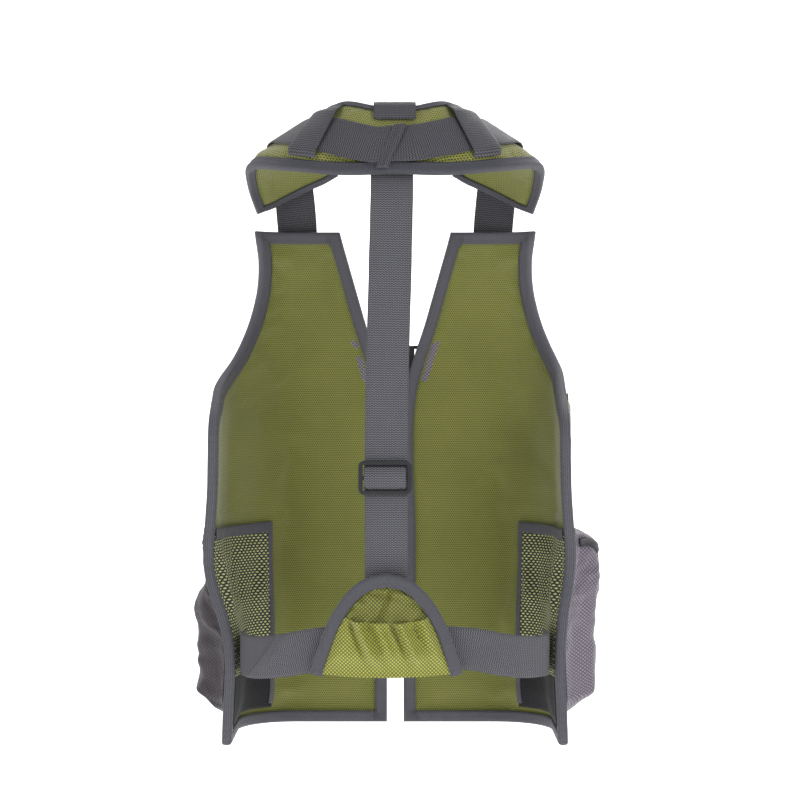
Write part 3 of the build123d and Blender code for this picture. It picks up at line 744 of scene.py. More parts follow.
def front_cover(side, seed):
    """Padded cover of one front, inflated between its bound edges."""
    places = []

    def cell(z, s):
        places.append((s, z))
        half = panel_half(s, z) - 0.5 - 2.0 * pressed(s, z)
        ripple = ramp((edge_distance(s, z) - 8) / 20) * (1 - pressed(s, z))
        bend = 0.8 * ripple * wobble(s, z, seed, 42)
        outer, inner = wall_point(s, z, half + bend), wall_point(s, z, bend * 0.6 - half)
        return outer * FLIP[side], inner * FLIP[side], (s, z)

    def across(z):
        return steps(smooth(START_S, z), smooth(END_S, z), 58)

    right = side == "right"
    sheet = grids(steps(PANEL_BOTTOM, PANEL_TOP, 104), across, cell)
    cover = slab(f"front_cover_{side}", *sheet, [LILAC, LINING], f"front_{side}", (0, 1, 1), turned=right)

    def room(s, z, on_top):
        """Less where a pocket, a flap, a buckle or the inner pocket lies on the cloth."""
        if on_top != right:
            under_chest_pocket = 30 < s < 200 and -350 < z < -228
            under_lower_pocket = 40 < s < 236 and -572 < z < -362
            under_shoulder_webbing = 60 < s < 112 and z > -190
            limit = 0.8 if under_chest_pocket or under_lower_pocket else 3.5
            limit = 0.6 if under_shoulder_webbing else limit
            limit *= 1 - 0.9 * pressed(s, z)
        else:
            limit = 0.7 if s > 112 and z < -362 else 3.0
        return limit * ramp((edge_distance(s, z) - 6) / 16) + 0.05

    inflate(cover, places, lambda s, z, on_top: edge_distance(s, z) < 9, room, 3.0, 0.035)
    dress(cover, "green_mesh", f"front_shell_{side}", f"front_foam_{side}")


def upright_edge(rows, heights, inward):
    """Outline rows up or down one of a front's shaped edges; inward is 1 or -1 along s."""
    edge = []
    for z in heights:
        slope = (smooth(rows, z + 1.5) - smooth(rows, z - 1.5)) / 3
        size = math.hypot(1, slope)
        edge.append(((smooth(rows, z), z), (inward / size, -inward * slope / size)))
    return edge


def front_outline():
    """Closed outline of a front as ((s, z), inward) rows, mitred at its corners."""
    low, high = PANEL_BOTTOM, PANEL_TOP
    starts, ends = [[smooth(rows, z) for z in (low, high)] for rows in (START_S, END_S)]
    rows = [((s, low), (0, 1)) for s in steps(12, ends[0] - 12, 30)]
    rows.append(((ends[0], low), (-1, 1)))
    rows += upright_edge(END_S, steps(low + 12, high - 10, 84), -1)
    rows.append(((ends[1], high), (-1, -1)))
    rows += [((s, high), (0, -1)) for s in steps(ends[1] - 12, starts[1] + 12, 12)]
    rows.append(((starts[1], high), (1, -1)))
    rows += upright_edge(START_S, steps(high - 12, low + 12, 80), 1)
    rows.append(((starts[0], low), (1, 1)))
    rows.append(rows[0])
    return [(Vector(place), Vector(inward)) for place, inward in rows]


def pocket_place(size, s, z, side, seed, wrinkles):
    """Outer surface point of a pocket at (s, z)."""
    (s0, s1), (z0, z1), edge = size["s"], size["z"], size["ramp"]
    rise = ramp((z - z0) / edge) * ramp((z1 - z) / edge)
    toward_side = ramp((s - 115) / 60)
    depth = size["depth"] + (size["side_depth"] - size["depth"]) * toward_side
    full = rise * ramp((s - s0) / edge) * ramp((s1 - s) / (2 * edge))
    left = side == "left"
    if size is LOWER_POCKET:
        depth += (6.0 if left else 9.5) * toward_side
        depth *= 1 - 0.95 * ramp((z + 456) / 42) * toward_side if left else 1
    tuck = math.sin((z + 0.25 * s) / (4.2 if left else 7.0) + 3.4 * wobble(s, z, seed + 2, 45))
    folds = 0.85 * wobble(s * 0.6 + z * 0.3, z * 1.3, seed, 30) + 0.4 * wobble(s + z * 0.5, z, seed + 4, 10)
    gather = (0.6 if left else 0.4) * tuck * ramp(1 - (s1 - s) / 70)
    depth += wrinkles * (folds + gather) * full * beside_zip(s) - 2.0
    depth += 1.5 * math.sin(math.pi * (z - z0) / (z1 - z0))
    swollen = wall_point(s, size["plan"], PANEL_HALF + 2.8 + depth)
    swollen.z = z + 0.8 * wrinkles * wobble(s, z, seed + 8, 16) * full
    flat = wall_point(s, z, panel_half(s, z) + 2.8)
    return flat.lerp(swollen, full)


def pocket_shell(side, name, node, size, look, seed, slot, wrinkles):
    """Bellows pocket: a full front that wraps the corner, with puckers along its seams."""
    (s0, s1), (z0, z1) = size["s"], size["z"]
    places = []

    def cell(z, s):
        places.append((s, z))
        back = wall_point(s, z, panel_half(s, z) + 1.3)
        return pocket_place(size, s, z, side, seed, wrinkles) * FLIP[side], back * FLIP[side], (s, z)

    right = side == "right"
    sheet = grids(steps(z0, z1, int((z1 - z0) / 2.6)), steps(s0, s1, 74), cell)
    pocket = slab(f"{name}_{side}", *sheet, look, f"front_{side}", turned=right)

    def held(s, z, on_top):
        return on_top == right or min(s - s0, s1 - s, z - z0, z1 - z) < 4

    def room(s, z, on_top):
        return 0.02 if on_top == right else 0.3 + 2.7 * beside_zip(s)

    inflate(pocket, places, held, room, 1.2, 0.08)
    rounding = pocket.modifiers.new("Subdivision", "SUBSURF")
    rounding.levels = rounding.render_levels = 1
    dress(pocket, slot, f"{node}_{side}")


def pocket_top_zip(side, seed, wrinkles):
    """Slanting zip tape that lies on the lower pocket's surface, down from its side seam."""
    path = [(214, -388), (204, -388), (194, -392), (184, -400), (175, -410), (160, -418), (140, -421),
            (118, -422)]
    middles = resample([Vector((s, z, 0)) for s, z in path], 2.0)
    lift, thickness, tape_width = 2.0, 1.2, 8.0

    def smooth_place(s, z):
        return pocket_place(LOWER_POCKET, s, z, side, seed, 0.0)

    travel = lengths_to([smooth_place(middle.x, middle.y) for middle in middles])

    def cell(i, v):
        run = run_at(middles, i)
        s, z = middles[i].x - run.y * v, middles[i].y + run.x * v
        base = smooth_place(s, z)
        normal = (smooth_place(s + 3, z) - base).cross(smooth_place(s, z + 3) - base).normalized()
        place = pocket_place(LOWER_POCKET, s, z, side, seed, wrinkles)
        top = place + normal * (lift + 1.1 * bell(v, 2.2))
        return (place + normal * (lift - thickness)) * FLIP[side], top * FLIP[side], (travel[i], v)

    sheet = grids(range(len(middles)), steps(-tape_width / 2, tape_width / 2, 13), cell)
    zip_tape = slab(f"pocket_top_zip_{side}", *sheet, ZIP, f"front_{side}", turned=side == "right")
    dress(zip_tape, "zip_tape")


def inner_pocket(side, point):
    """Loose mesh pocket on the lining, with a taped mouth and a hem down its front edge."""
    body = f"front_{side}"
    (s0, s1), (z0, z1) = MESH_POCKET["s"], MESH_POCKET["z"]

    def cell(z, s):
        loose = ramp((z + 466) / 24) * ramp((-386 - z) / 16)
        loose *= ramp((s - s0 - 2) / 10) * ramp((s1 - 3 - s) / 14)
        sag = 0.5 * wobble(s, z, 31, 25) - loose * (4.0 + 5.0 * wobble(s * 1.2 + z * 0.5, z * 0.6, 37, 26))
        lift = -panel_half(s, z) - 1.5 + sag
        return point(s, z, lift - 1.0), point(s, z, lift), (s, z)

    sheet = grids(steps(z0, z1, 60), steps(s0, s1, 46), cell)
    pocket = slab(f"inner_mesh_pocket_{side}", *sheet, [OPEN_MESH, MESH_PAINTED_SHADE], body, turned=side == "left")
    # faces low on the pocket take the dark mesh: painted shade below the belt
    for face in pocket.data.polygons:
        face.material_index = 1 if face.center.z < PAINTED_SHADE_BELOW * MM else 0
    dress(pocket, "open_mesh", f"mesh_pocket_{side}")

    stations = []
    for s in steps(s0 - 1, s1 + 1, 12):
        z = z1 - 2 - 2.0 * math.sin(math.pi * (s - s0 + 1) / (s1 - s0 + 2))
        here = point(s, z, -panel_half(s, z) - 3.0)
        stations.append((here, Z_AXIS, here - point(s, z, -panel_half(s, z))))
    mouth = webbing(f"mesh_pocket_mouth_{side}", stations, TAPE, BINDING, body, 1.2, seed=5, wave=0.1, cols=5)
    dress(mouth, "binding")

    stations = []
    s = s0 + 1.5
    for z in steps(z0 + 4, z1 - 5, 14):
        here = point(s, z, -panel_half(s, z) - 2.9)
        across = point(s + 2.5, z, 0) - point(s - 3.5, z, 0)
        stations.append((here, across, here - point(s, z, -panel_half(s, z))))
    hem = webbing(f"mesh_pocket_hem_{side}", stations, 5.0, BINDING, body, 1.0, seed=9, wave=0.1, cols=5)
    dress(hem, "binding")


def front_zip(side):
    """Upright zip tape in front of the lower pocket, in the box of the CAD strip."""
    low, high = box_mm(f"lower_zip_{side}")
    middle = (low + high) / 2
    stations = [((middle.x, middle.y, z), X_AXIS, (0, -1, 0)) for z in steps(low.z, high.z, 6)]
    strip = webbing(f"zip_strip_{side}", stations, high.x - low.x, ZIP, f"front_{side}", 1.4, seed=3,
                    wave=0.05, cols=13)
    dress(strip, "zip_tape", f"lower_zip_{side}")


def chest_flap(side):
    """Flap of the chest pocket, round at its lower corners."""
    low, high = box_mm(f"chest_flap_{side}")
    y = (low.y + high.y) / 2
    half = 0.9

    def drop(z):
        return (high.z - z) / (high.z - low.z)

    def across(z):
        round_in = 9.0 * (1 - math.sqrt(max(0.0, 1 - max(0.0, (drop(z) - 0.84) / 0.16) ** 2)))
        return steps(low.x + round_in, high.x - round_in, 22)

    def cell(z, x):
        curl = 0.9 * drop(z) * wobble(x, z, 71, 30)
        return Vector((x, y + half + curl, z)), Vector((x, y - half + curl, z)), (x, z)

    sheet = grids(steps(low.z, high.z, 26), across, cell)
    flap = slab(f"chest_flap_cloth_{side}", *sheet, DARK_GREEN, f"chest_flap_{side}")
    dress(flap, "dark_green", f"chest_flap_{side}")


def spread(piece):
    """The left front stands further out above its pocket."""
    for v in piece.data.vertices:
        _, y, z = v.co / MM
        v.co.x += 11.0 * ramp((y + 100) / 60) * ramp((z + 494) / 90) * ramp((-170 - z) / 70) * MM


def build_front(side):
    left = side == "left"
    front_cover(side, 11 if left else 23)

    def point(s, z, off):
        return wall_point(s, z, off) * FLIP[side]

    def half(s, z):
        return panel_half(s, z) - 2.3 * pressed(s, z)

    edging(f"front_edge_{{}}_{side}", front_outline(), point, half, TAPE, BINDING, f"front_{side}",
           [(8.6, 1.75, 1), (8.6, 1.75, -1)], f"front_binding_{side}")
    inner_pocket(side, point)
    seed, wrinkles = 41 if left else 57, 3.2
    # the left pocket takes the darker lilac copy: painted shade
    pocket_shell(side, "lower_pocket_body", "lower_pocket", LOWER_POCKET, LILAC_SHADED if left else LILAC,
                 seed, "lilac_ripstop", wrinkles)
    pocket_top_zip(side, seed, wrinkles)
    pocket_shell(side, "chest_pocket_body", "chest_pocket", CHEST_POCKET, DARK_GREEN, 61 if left else 77,
                 "dark_green", 1.4)
    front_zip(side)
    chest_flap(side)


# ------------------------------------------------------------------ collar

def collar_outline():
    """Closed outline of the collar as ((u, f), inward) rows, mitred at its corners."""
    def per_mm(u):
        return 1 / collar_frame(u)[1].length

    def end_corner(u, f, inward):
        return (u, f), (-math.copysign(1 / COLLAR_STEP, u), inward * per_mm(COLLAR_END))

    def end_side(u, shares):
        return [((u, f), (-math.copysign(1 / COLLAR_STEP, u), 0.0)) for f in shares]

    end, shares = COLLAR_END, steps(0.14, 0.86, 14)
    stations = steps(0.25 - end, end - 0.25, 130)
    rows = [((u, 0.0), (0.0, per_mm(u))) for u in stations]
    rows += [end_corner(end, 0.0, 1), *end_side(end, shares), end_corner(end, 1.0, -1)]
    rows += [((u, 1.0), (0.0, -per_mm(u))) for u in steps(end - 0.25, 0.25 - end, 130)]
    rows += [end_corner(-end, 1.0, -1), *end_side(-end, steps(0.86, 0.14, 14)), end_corner(-end, 0.0, 1)]
    rows.append(rows[0])
    return [(Vector(place), Vector(inward)) for place, inward in rows]


def collar_cover():
    """Padded cover of the collar, with its bound edges."""
    stations = steps(-COLLAR_END, COLLAR_END, 150)
    travels = lengths_to([collar_point(u, 0.5, 0) for u in stations])
    rows = [(u, collar_frame(u)[1].length, travel) for u, travel in zip(stations, travels)]
    places = []

    def cell(row, f):
        u, across, travel = row
        places.append((u, f, across))
        half = collar_half(f) - 0.4
        ripple = 0.7 * ramp((min(f, 1 - f) * across - 8) / 14) * wobble(travel, f * across, 15, 24)
        return collar_point(u, f, -half), collar_point(u, f, half + ripple), (travel, f * across)

    sheet = grids(rows, steps(0, 1, 26), cell)
    cover = slab("collar_cover", *sheet, [GREEN_MESH, LINING], "harness", (1, 0, 0))

    def held(u, f, across, on_top):
        return min(f, 1 - f) * across < 9 or abs(u) > 4.75

    def room(u, f, across, on_top):
        under_webbing = abs(f - 0.55) * across < 24
        return 0.5 if under_webbing else 2.4

    inflate(cover, places, held, room, 3.0, 0.02)
    dress(cover, "green_mesh", "collar_pad", "collar_foam")

    def half(u, f):
        return collar_half(min(1, max(0, f)))

    def point(u, f, off):
        """Collar point that runs straight on past the collar's ends."""
        beyond = abs(u) - COLLAR_END
        if beyond <= 0:
            return collar_point(u, f, off)
        end = math.copysign(COLLAR_END, u)
        ahead = (collar_point(end, f, 0) - collar_point(end * 0.99, f, 0)).normalized()
        return collar_point(end, f, off) + ahead * beyond * COLLAR_STEP

    edging("collar_edge_{}", collar_outline(), point, half, 7.5, COLLAR_BINDING_SHADED, "harness",
           [(5.9, 1.75, 1), (5.9, 1.75, -1)])


def yoke(side):
    """Wide webbing over one half of the collar, folded at the back and running on to the front."""
    flip = FLIP[side]
    left = side == "left"
    stations = []
    for u in [0.08 if left else -0.16, 0.2] + steps(0.4, COLLAR_END, 14):
        f = 0.5 + (0.19 if left else 0.15) * (1 - ramp(u / 2))
        lap = 2.0 * ramp((0.5 - u) / 0.4) if left else 0.0
        _, across, normal = collar_frame(u)
        lift = COLLAR_HALF + 0.6 + WEB_T / 2 + lap
        stations.append((collar_point(u, f, lift), across.normalized(), normal))
    (before, _, _), (start, start_side, _) = stations[-2:]
    start_run = (start - before).normalized() * 30
    end = Vector((100.0, smooth(FRONT_Y, PANEL_TOP) - PANEL_HALF - 2.2, PANEL_TOP - 6))
    end_run = Vector((0, -0.33, -1)).normalized() * 40
    for t in steps(0, 1, 6)[1:]:
        place = hermite(start, start_run, end, end_run, t)
        across = (start_side * (1 - t) + X_AXIS * t).normalized()
        stations.append((place, across, (place - stations[-1][0]).cross(across)))
    stations = [[part * flip for part in station] for station in stations]
    name = f"yoke_webbing_cloth_{side}"
    piece = dress(webbing(name, stations, WEB, COLLAR_WEBBING_SHADED, None, seed=3 if left else 8), "webbing",
                  f"yoke_webbing_{side}")
    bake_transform(piece)


def keeper_band(side):
    """Short band across the collar, following its curve over the yoke webbing."""
    half_width = 15

    def middle(f):
        return 1.5 + 0.17 * f

    shares = steps(0.07, 0.89, 40)
    travels = lengths_to([collar_point(middle(f), f, 0) for f in shares])

    def cell(row, v):
        f, travel = row
        per_unit = (collar_point(middle(f) + 0.1, f, 0) - collar_point(middle(f) - 0.1, f, 0)).length / 0.2
        edge = 0.5 * (abs(v) / half_width) ** 6
        lift = collar_half(max(f, 0.1)) + 1.1 + 3.9 * ramp((f - 0.1) / 0.16) * ramp((0.93 - f) / 0.1)
        lift += 0.35 * wobble(travel, v, 61 if side == "left" else 67, 17)
        u = middle(f) + v / per_unit
        top, bottom = [collar_point(u, f, off) * FLIP[side] for off in (lift + WEB_T - edge, lift + edge)]
        return bottom, top, (travel, v)

    sheet = grids(list(zip(shares, travels)), steps(-half_width, half_width, 17), cell)
    band = slab(f"keeper_cloth_{side}", *sheet, COLLAR_WEBBING_SHADED, "harness", turned=side == "right")
    dress(band, "webbing", f"keeper_{side}")


def yoke_pleat():
    """Fold where the left half of the yoke webbing laps over the right one."""
    def cell(f, v):
        t = (f - 0.38) / 0.65
        half = 5.4 - 1.0 * t
        bulge = 2.4 * (1 - v * v) - 1.3 * bell(v - 0.1, 0.16)
        lift = COLLAR_HALF + 4.8 + bulge + 0.25 * wobble(v * 5, f * 60, 81, 12)
        u = -0.09 + 0.30 * t + v * half / 46
        lower = collar_point(u, f, lift - 1.6 - 0.6 * (1 - v * v))
        return lower, collar_point(u, f, lift), (v * half * 1.5, f * 66)

    sheet = grids(steps(0.38, 1.03, 26), steps(-1, 1, 13), cell)
    dress(slab("yoke_pleat", *sheet, COLLAR_WEBBING_SHADED, "harness"), "webbing")


def hang_loop():
    """Webbing loop folded over the collar's inner edge at the middle of the back."""
    reach = COLLAR_HALF + 2.1
    places = [(0.245, reach), (0.17, reach), (0.08, reach), (0.0, reach), (-0.08, 5.8), (-0.12, 0.0),
              (-0.08, -5.8), (0.0, -reach), (0.08, -reach), (0.2, -reach)]
    points = [collar_point(0, f, off) for f, off in places]
    stations = [(p, X_AXIS, X_AXIS.cross(run_at(points, i))) for i, p in enumerate(points)]
    loop = webbing("collar_loop_cloth", stations, WEB, COLLAR_WEBBING_SHADED, "harness", seed=21, wave=0.2, step=1.6)
    dress(loop, "webbing", "collar_loop")


# ------------------------------------------------------------------ back strap, slider, lumbar pad, belt

def back_strap():
    """Long strap from the lumbar pad to the collar, leaning a little toward its top."""
    low, high = box_mm("back_strap")
    x = (low.x + high.x) / 2
    stations = []
    for z in steps(low.z, high.z, 30):
        slope = (smooth(STRAP_Y, z + 2) - smooth(STRAP_Y, z - 2)) / 4
        lean = 5.5 * ramp((z + 300) / 290)
        stations.append(((x - lean, smooth(STRAP_Y, z), z), X_AXIS, (0, 1, -slope)))
    strap = webbing("back_strap_cloth", stations, WEB, WEBBING, "harness", seed=2, wave=0.22)
    dress(strap, "webbing", "back_strap")


def slider_hump(name, node, body, normal, down):
    """Webbing over the middle bar of a slider, in the box of its CAD node."""
    low, high = box_mm(node)
    middle = (low + high) / 2
    rise = [(-SLIDER_REACH, 1.6), (-SLIDER_REACH + 1.8, 3.2), (-4.6, 5.2), (-2.2, 5.75)]
    rows = rise + [(0, 5.9)] + [(-along, height) for along, height in reversed(rise)]
    top = max(height for _, height in rows) + WEB_T / 2
    farthest = max(corner.dot(normal) for corner in (low, high, Vector((middle.x, low.y, high.z))))
    anchor = middle + normal * (farthest - middle.dot(normal) - top)
    stations = [(anchor + down * along + normal * height, X_AXIS, normal) for along, height in rows]
    hump = webbing(name, stations, high.x - low.x, WEBBING, body, seed=14, wave=0.08, step=1.5)
    dress(hump, "webbing", node)


def lumbar_outline(count=40):
    """Open outline from the lower right corner, over the top, to the lower left corner."""
    shares = [1 - (1 - k / count) ** 2.2 for k in range(count + 1)]
    heights = [LUMBAR_FOOT + (LUMBAR_TOP - LUMBAR_FOOT) * share for share in shares]
    edge = [Vector((smooth(LUMBAR_HALF_WIDTH, z), z)) for z in heights]
    edge[-1].x = 0.0
    full = edge + [Vector((-p.x, p.y)) for p in reversed(edge[:-1])]
    runs = [run_at(full, i) for i in range(len(full))]
    return [(p, Vector((-run.y, run.x))) for p, run in zip(full, runs)]


def lumbar_cover():
    """Padded cover of the lumbar pad, creased where the pocket leaves it open."""
    places = []

    def across(z):
        half_width = max(1.5, smooth(LUMBAR_HALF_WIDTH, z) - 0.5)
        return steps(-half_width, half_width, 56)

    def cell(z, x):
        inside = lumbar_inside(x, z)
        places.append((inside,))
        crease = -3.8 * bell(x + 1.5 + 0.35 * (z + 430), 2.6)
        crease -= 3.0 * bell(z + 428 - 0.25 * x, 2.2) * bell(x, 22)
        crease += 2.4 * wobble(x, z * 1.3, 91, 10)
        crease *= ramp((z + 456) / 8) * ramp((inside - 9) / 8)
        half = lumbar_half(x, z)
        return lumbar_point(x, z, -half), lumbar_point(x, z, half + crease), (x, z)

    heights = [-500.5 + 91.5 * (1 - (1 - t) ** 1.6) for t in steps(0, 1, 60)]
    sheet = grids(heights, across, cell)
    # the cover's outer face takes the darker ripstop: painted shade above the pocket's mouth
    cover = slab("lumbar_cover", *sheet, [RIPSTOP_SHADED, GREEN_MESH], "harness", (1, 0, 0))
    inflate(cover, places, lambda inside, on_top: inside < 6, lambda inside, on_top: 0.8, 3.0, 0.03)
    dress(cover, "green_ripstop", "lumbar_pad", "lumbar_foam")


def lumbar_pocket():
    """Gathered pocket panel over the lower part of the lumbar pad."""
    # (place, height, width) of each ridge or crease across the panel
    folds = [(26, 8.5, 4.2), (9, 5.0, 4.6), (-12, 9.0, 4.0), (-33, 5.0, 4.4), (34, -3.4, 2.2),
             (-4.2, -4.4, 2.0), (17.5, -2.8, 2.2), (-23, -3.2, 2.4)]

    def cell(t, k):
        mouth = -443.5 - 8.5 * (1 - abs(k) ** 3)
        foot = -500.6 - 3.2 * (1 - k * k)
        z = foot + (mouth - foot) * t
        half_width = smooth(LUMBAR_HALF_WIDTH, z)
        x = k * (half_width - 5)
        loose = ramp((half_width - 10 - abs(x)) / 12) * ramp((z + 500) / 14)
        slant = x - 0.42 * (z - mouth)
        fold = sum(height * bell(slant - place, width) for place, height, width in folds)
        fold *= 0.25 + 0.75 * ramp(t / 0.75)
        belly = 2.6 * math.sin(math.pi * min(1.0, 0.15 + 0.75 * t))
        fine = 0.8 * wobble(x * 1.4 + z * 0.5, z, 33, 9)
        hem = 1.3 * ramp((t - 0.9) / 0.05)
        lift = max(3.2, lumbar_half(x, z) + 1.6 + (belly + fold + fine + hem) * loose)
        return lumbar_point(x, z, lift - 0.8), lumbar_point(x, z, lift), (x + 0.12 * fold * loose, z)

    sheet = grids(steps(0, 1, 64), steps(-1, 1, 96), cell)
    panel = slab("lumbar_pocket_panel", *sheet, RIPSTOP, "harness")
    dress(panel, "green_ripstop", "lumbar_pocket")


def build_lumbar():
    lumbar_cover()
    lumbar_pocket()

    def half(x, z):
        return lumbar_half(x, z) + 0.6

    edging("lumbar_edge_{}", lumbar_outline(), lumbar_point, half, TAPE, BINDING, "harness",
           [(9.0, 2.5, 1), (2.2, 2.4, 1)], "lumbar_binding", gap=1.2)


def belt_lap(stations):
    """Upper layer of the left belt half: it ends in a slanting fold over the layer below."""
    middles = resample([Vector(station[0]) for station in stations], 1.0)
    last = len(middles) - 1
    # the fold starts farther round at the webbing's lower edge than at its upper one
    low_end, high_end = [min(range(last + 1), key=lambda i: abs(middles[i].x - x)) for x in (141, 108)]

    def cell(t, v):
        at = t * (low_end * (1 - v) + high_end * (1 + v)) / 2
        k = min(int(at), last - 1)
        middle = middles[k].lerp(middles[k + 1], at - k)
        run = (middles[min(k + 2, last)] - middles[max(k - 1, 0)]).normalized()
        side = (Z_AXIS - run * run.z).normalized()
        out = side.cross(run)
        out = out if out.y > 0 else -out
        near_end = ramp((t - 0.8) / 0.2)
        lift = 1.0 + 1.6 * ramp((at - 20) / 40) + 0.9 * near_end * (1 - near_end) * 4 - 0.9 * near_end
        lift += 0.45 * wobble(at, v * 20, 29, 24)
        place = middle + side * (v * (WEB / 2 + 0.4)) + out * lift
        travel = at + 9.0 * near_end * (v + 1)
        return place - out * WEB_T * 0.35, place + out * WEB_T * 0.45, (travel, v * WEB / 2)

    sheet = grids(steps(0, 1, 96), steps(-1, 1, 13), cell)
    return dress(slab("waist_belt_lap_left", *sheet, WEBBING, None), "webbing")


def belt(side):
    """Waist belt from behind the lumbar pad to inside a front."""
    flip = FLIP[side]
    left = side == "left"
    plan = [(x + flip.x * BACK_X * (1 - ramp((x - 40) / 80)), y) for x, y in BELT_PLAN]
    stations = []
    for i, (x, y) in enumerate(plan):
        run = run_at([Vector(place) for place in plan], i)
        z = BELT_BACK_Z + (BELT_SIDE_Z - BELT_BACK_Z) * ramp((x - 50) / 85)
        stations.append((Vector((x, y, z)) * flip, Z_AXIS, Vector((run.y, -run.x, 0)) * flip))
    layer = webbing(f"waist_belt_cloth_{side}", stations, WEB, WEBBING_DARK if left else WEBBING, None,
                    seed=6 if left else 17, wave=0.5)
    dress(layer, "webbing", f"waist_belt_{side}")
    layers = [belt_lap(stations), layer] if left else [layer]
    for piece in layers:
        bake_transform(piece)


# ------------------------------------------------------------------ front webbing and tabs

def shoulder_webbing(side):
    """Webbing of the shoulder slider, flat on the front."""
    low, high = box_mm(f"shoulder_strap_{side}")
    x = (low.x + high.x) / 2
    in_box = WEB_T / 2
    start, end = Vector((x, high.y - in_box, high.z)), Vector((x, low.y + in_box, low.z))
    stations = [(start.lerp(end, t), X_AXIS, SHOULDER_OUT) for t in steps(0, 1, 6)]
    strap = webbing(f"shoulder_strap_cloth_{side}", stations, WEB, WEBBING, f"front_{side}", seed=9, wave=0.1)
    dress(strap, "webbing", f"shoulder_strap_{side}")


def folded_tab(name, node, width, reach, body, origin, along, out, across, seed):
    """Webbing folded round a bar at origin: it runs along the panel, and out is the way off it."""
    turn = 3.4
    path = [(reach, 5.9), (12, 5.7), (6, 4.6)]
    path += [(turn * math.cos(math.radians(a)), turn * math.sin(math.radians(a))) for a in steps(90, 270, 9)]
    path += [(6, -1.2), (10, 1.6), (13, 3.0), (reach - 2, 3.3)]
    places = [Vector(place) for place in path]
    stations = []
    for i, place in enumerate(places):
        run = run_at(places, i)
        stations.append((origin + along * place.x - out * place.y, across, along * run.y + out * run.x))
    tab = webbing(name, stations, width, WEBBING, body, seed=seed, wave=0.06, step=1.5)
    return dress(tab, "webbing", node)


def buckle_tab(name, side, width, reach):
    """Sewn webbing of a buckle half: it bends between the front and the turning buckle half."""
    sign = FLIP[side].x
    node = f"{name}_strap_{side}"
    low, high = box_mm(node)
    z = (low.z + high.z) / 2
    bar_x, bar_y = 27.0, -139.0
    bar = Vector((sign * bar_x, bar_y, z))
    out = Vector((0, -1, 0))
    tab = folded_tab(f"{node}_cloth", node, width, reach - bar_x, None, bar, X_AXIS * sign, out, Z_AXIS, 19)
    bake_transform(tab)


def ring_tab(side):
    """Tab that holds a D-ring under the shoulder slider."""
    low, high = box_mm(f"dring_{side}")
    bar = Vector(((low.x + high.x) / 2, (low.y + high.y) / 2, high.z - 1.6))
    folded_tab(f"dring_tab_cloth_{side}", f"dring_tab_{side}", 20.0, 18.0, f"front_{side}", bar, SHOULDER_UP,
               SHOULDER_OUT, X_AXIS, 25)


# ------------------------------------------------------------------ build

for side in ("left", "right"):
    build_front(side)
    yoke(side)
    keeper_band(side)
    belt(side)
    shoulder_webbing(side)
    buckle_tab("chest", side, 25.0, 62)
    buckle_tab("waist", side, 40.0, 54)
    ring_tab(side)
    slider_hump(f"shoulder_hump_{side}", f"shoulder_slider_loop_{side}", f"shoulder_slider_{side}",
                SHOULDER_OUT, -SHOULDER_UP)
for name in ("front_cover", "front_edge_tape", "front_edge_thread", "inner_mesh_pocket", "mesh_pocket_mouth",
             "mesh_pocket_hem", "lower_pocket_body", "pocket_top_zip"):
    spread(bpy.data.objects[f"{name}_left"])
collar_cover()
yoke_pleat()
hang_loop()
back_strap()
slider_hump("back_slider_hump", "back_slider_loop", "back_slider", Vector((0, 1, 0)), -Z_AXIS)
build_lumbar()

# CAD pieces that stay, with their finishes
KEPT = [
    (PLASTIC, ("back_slider", "shoulder_slider", "chest_buckle", "waist_buckle", "chest_prong",
               "waist_prong")),
    (ZIP_METAL, ("zip_slider", "zip_pull")),
    (RING_METAL, ("dring_left", "dring_right")),
]
for look, starts in KEPT:
    for node, obj in NODES.items():
        if node.startswith(starts) and "slider_loop" not in node:
            for slot in obj.material_slots:
                slot.material = look


# ------------------------------------------------------------------ stage, light and camera, in metres

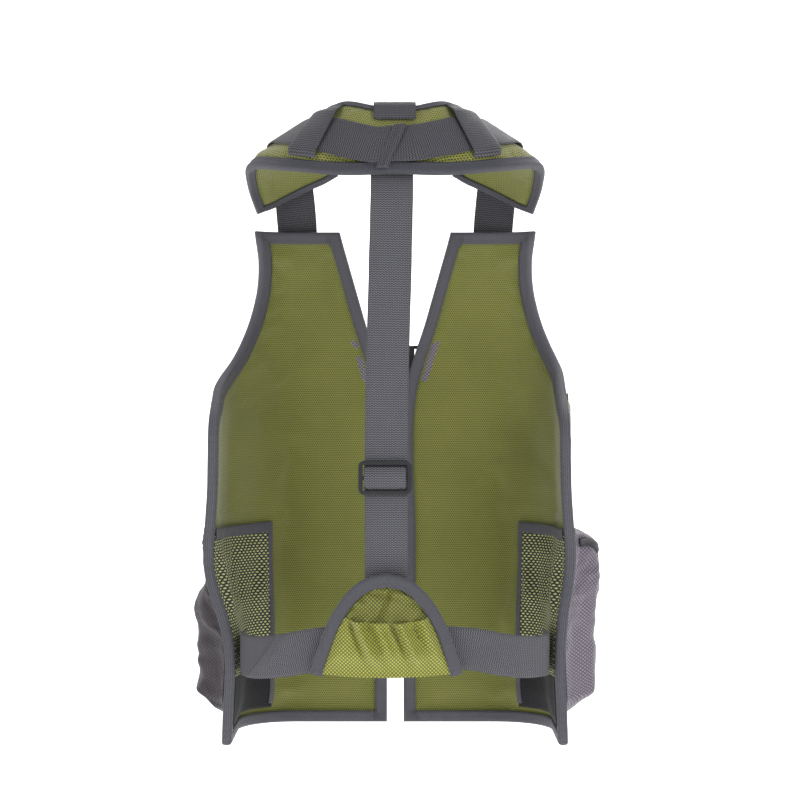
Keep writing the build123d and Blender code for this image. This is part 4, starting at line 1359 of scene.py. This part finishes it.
def build_stage():
    """Pale floor that curves up into a wall behind the object."""
    look, _, shader = material("stage")
    shader.inputs["Base Color"].default_value = (0.93, 0.93, 0.93, 1)
    shader.inputs["Roughness"].default_value = 0.9
    shader.inputs["Emission Color"].default_value = (1, 1, 1, 1)
    shader.inputs["Emission Strength"].default_value = 0.62
    floor_z, wall_y, bend, half_width = -0.80, -2.6, 1.0, 6
    profile = [(5.0, floor_z), (0.0, floor_z), (wall_y + bend, floor_z)]
    for a in [math.radians(degrees) for degrees in steps(8, 90, 12)]:
        profile.append((wall_y + bend * (1 - math.sin(a)), floor_z + bend * (1 - math.cos(a))))
    profile.append((wall_y, 4.0))
    verts = [Vector((x, y, z)) for y, z in profile for x in (-half_width, half_width)]
    faces = [(2 * i, 2 * i + 1, 2 * i + 3, 2 * i + 2) for i in range(len(profile) - 1)]
    make("studio_floor", verts, faces, [(0, 0)] * len(verts), look, None, scale=1.0)


def build_world():
    """Soft light from all round that looks as pale as the floor where the floor ends."""
    light, pale = 0.38, 1.0
    world = bpy.data.worlds.new("studio")
    bpy.context.scene.world = world
    world.use_nodes = True
    sky = Nodes(world.node_tree)
    background = world.node_tree.nodes["Background"]
    background.inputs["Color"].default_value = (1.0, 1.0, 1.0, 1)
    seen = sky.add("ShaderNodeLightPath", output="Is Camera Ray")
    sky.put(background.inputs["Strength"], seen * (pale - light) + light)


def area(name, place, target, size, power):
    light = bpy.data.lights.new(name, "AREA")
    light.shape = "RECTANGLE"
    light.size, light.size_y = size
    light.energy = power
    obj = bpy.data.objects.new(name, light)
    obj.location = place
    obj.rotation_euler = (Vector(target) - Vector(place)).to_track_quat("-Z", "Y").to_euler()
    bpy.context.scene.collection.objects.link(obj)


def build_camera():
    """Camera straight behind the wearer, at the photograph's distance and framing."""
    data = bpy.data.cameras.new("camera")
    data.lens = 91.8
    data.sensor_width = 36.0
    camera = bpy.data.objects.new("camera", data)
    camera.location = (-0.0049, 2.0, -0.245)
    camera.rotation_euler = (math.radians(90), 0, math.radians(180))
    bpy.context.scene.collection.objects.link(camera)
    bpy.context.scene.camera = camera
    bpy.context.scene.view_settings.view_transform = "Standard"


build_stage()
build_world()
area("key", (-1.5, 2.3, 1.3), (0, 0, -0.25), (1.2, 1.2), 30)
area("fill", (1.9, 1.9, 0.4), (0, 0, -0.25), (1.4, 1.4), 13)
area("front", (-0.6, -2.0, 1.4), (0, 0, -0.25), (1.6, 1.2), 22)
area("top", (0, 0.2, 2.4), (0, 0, -0.2), (1.8, 1.8), 13)
build_camera()
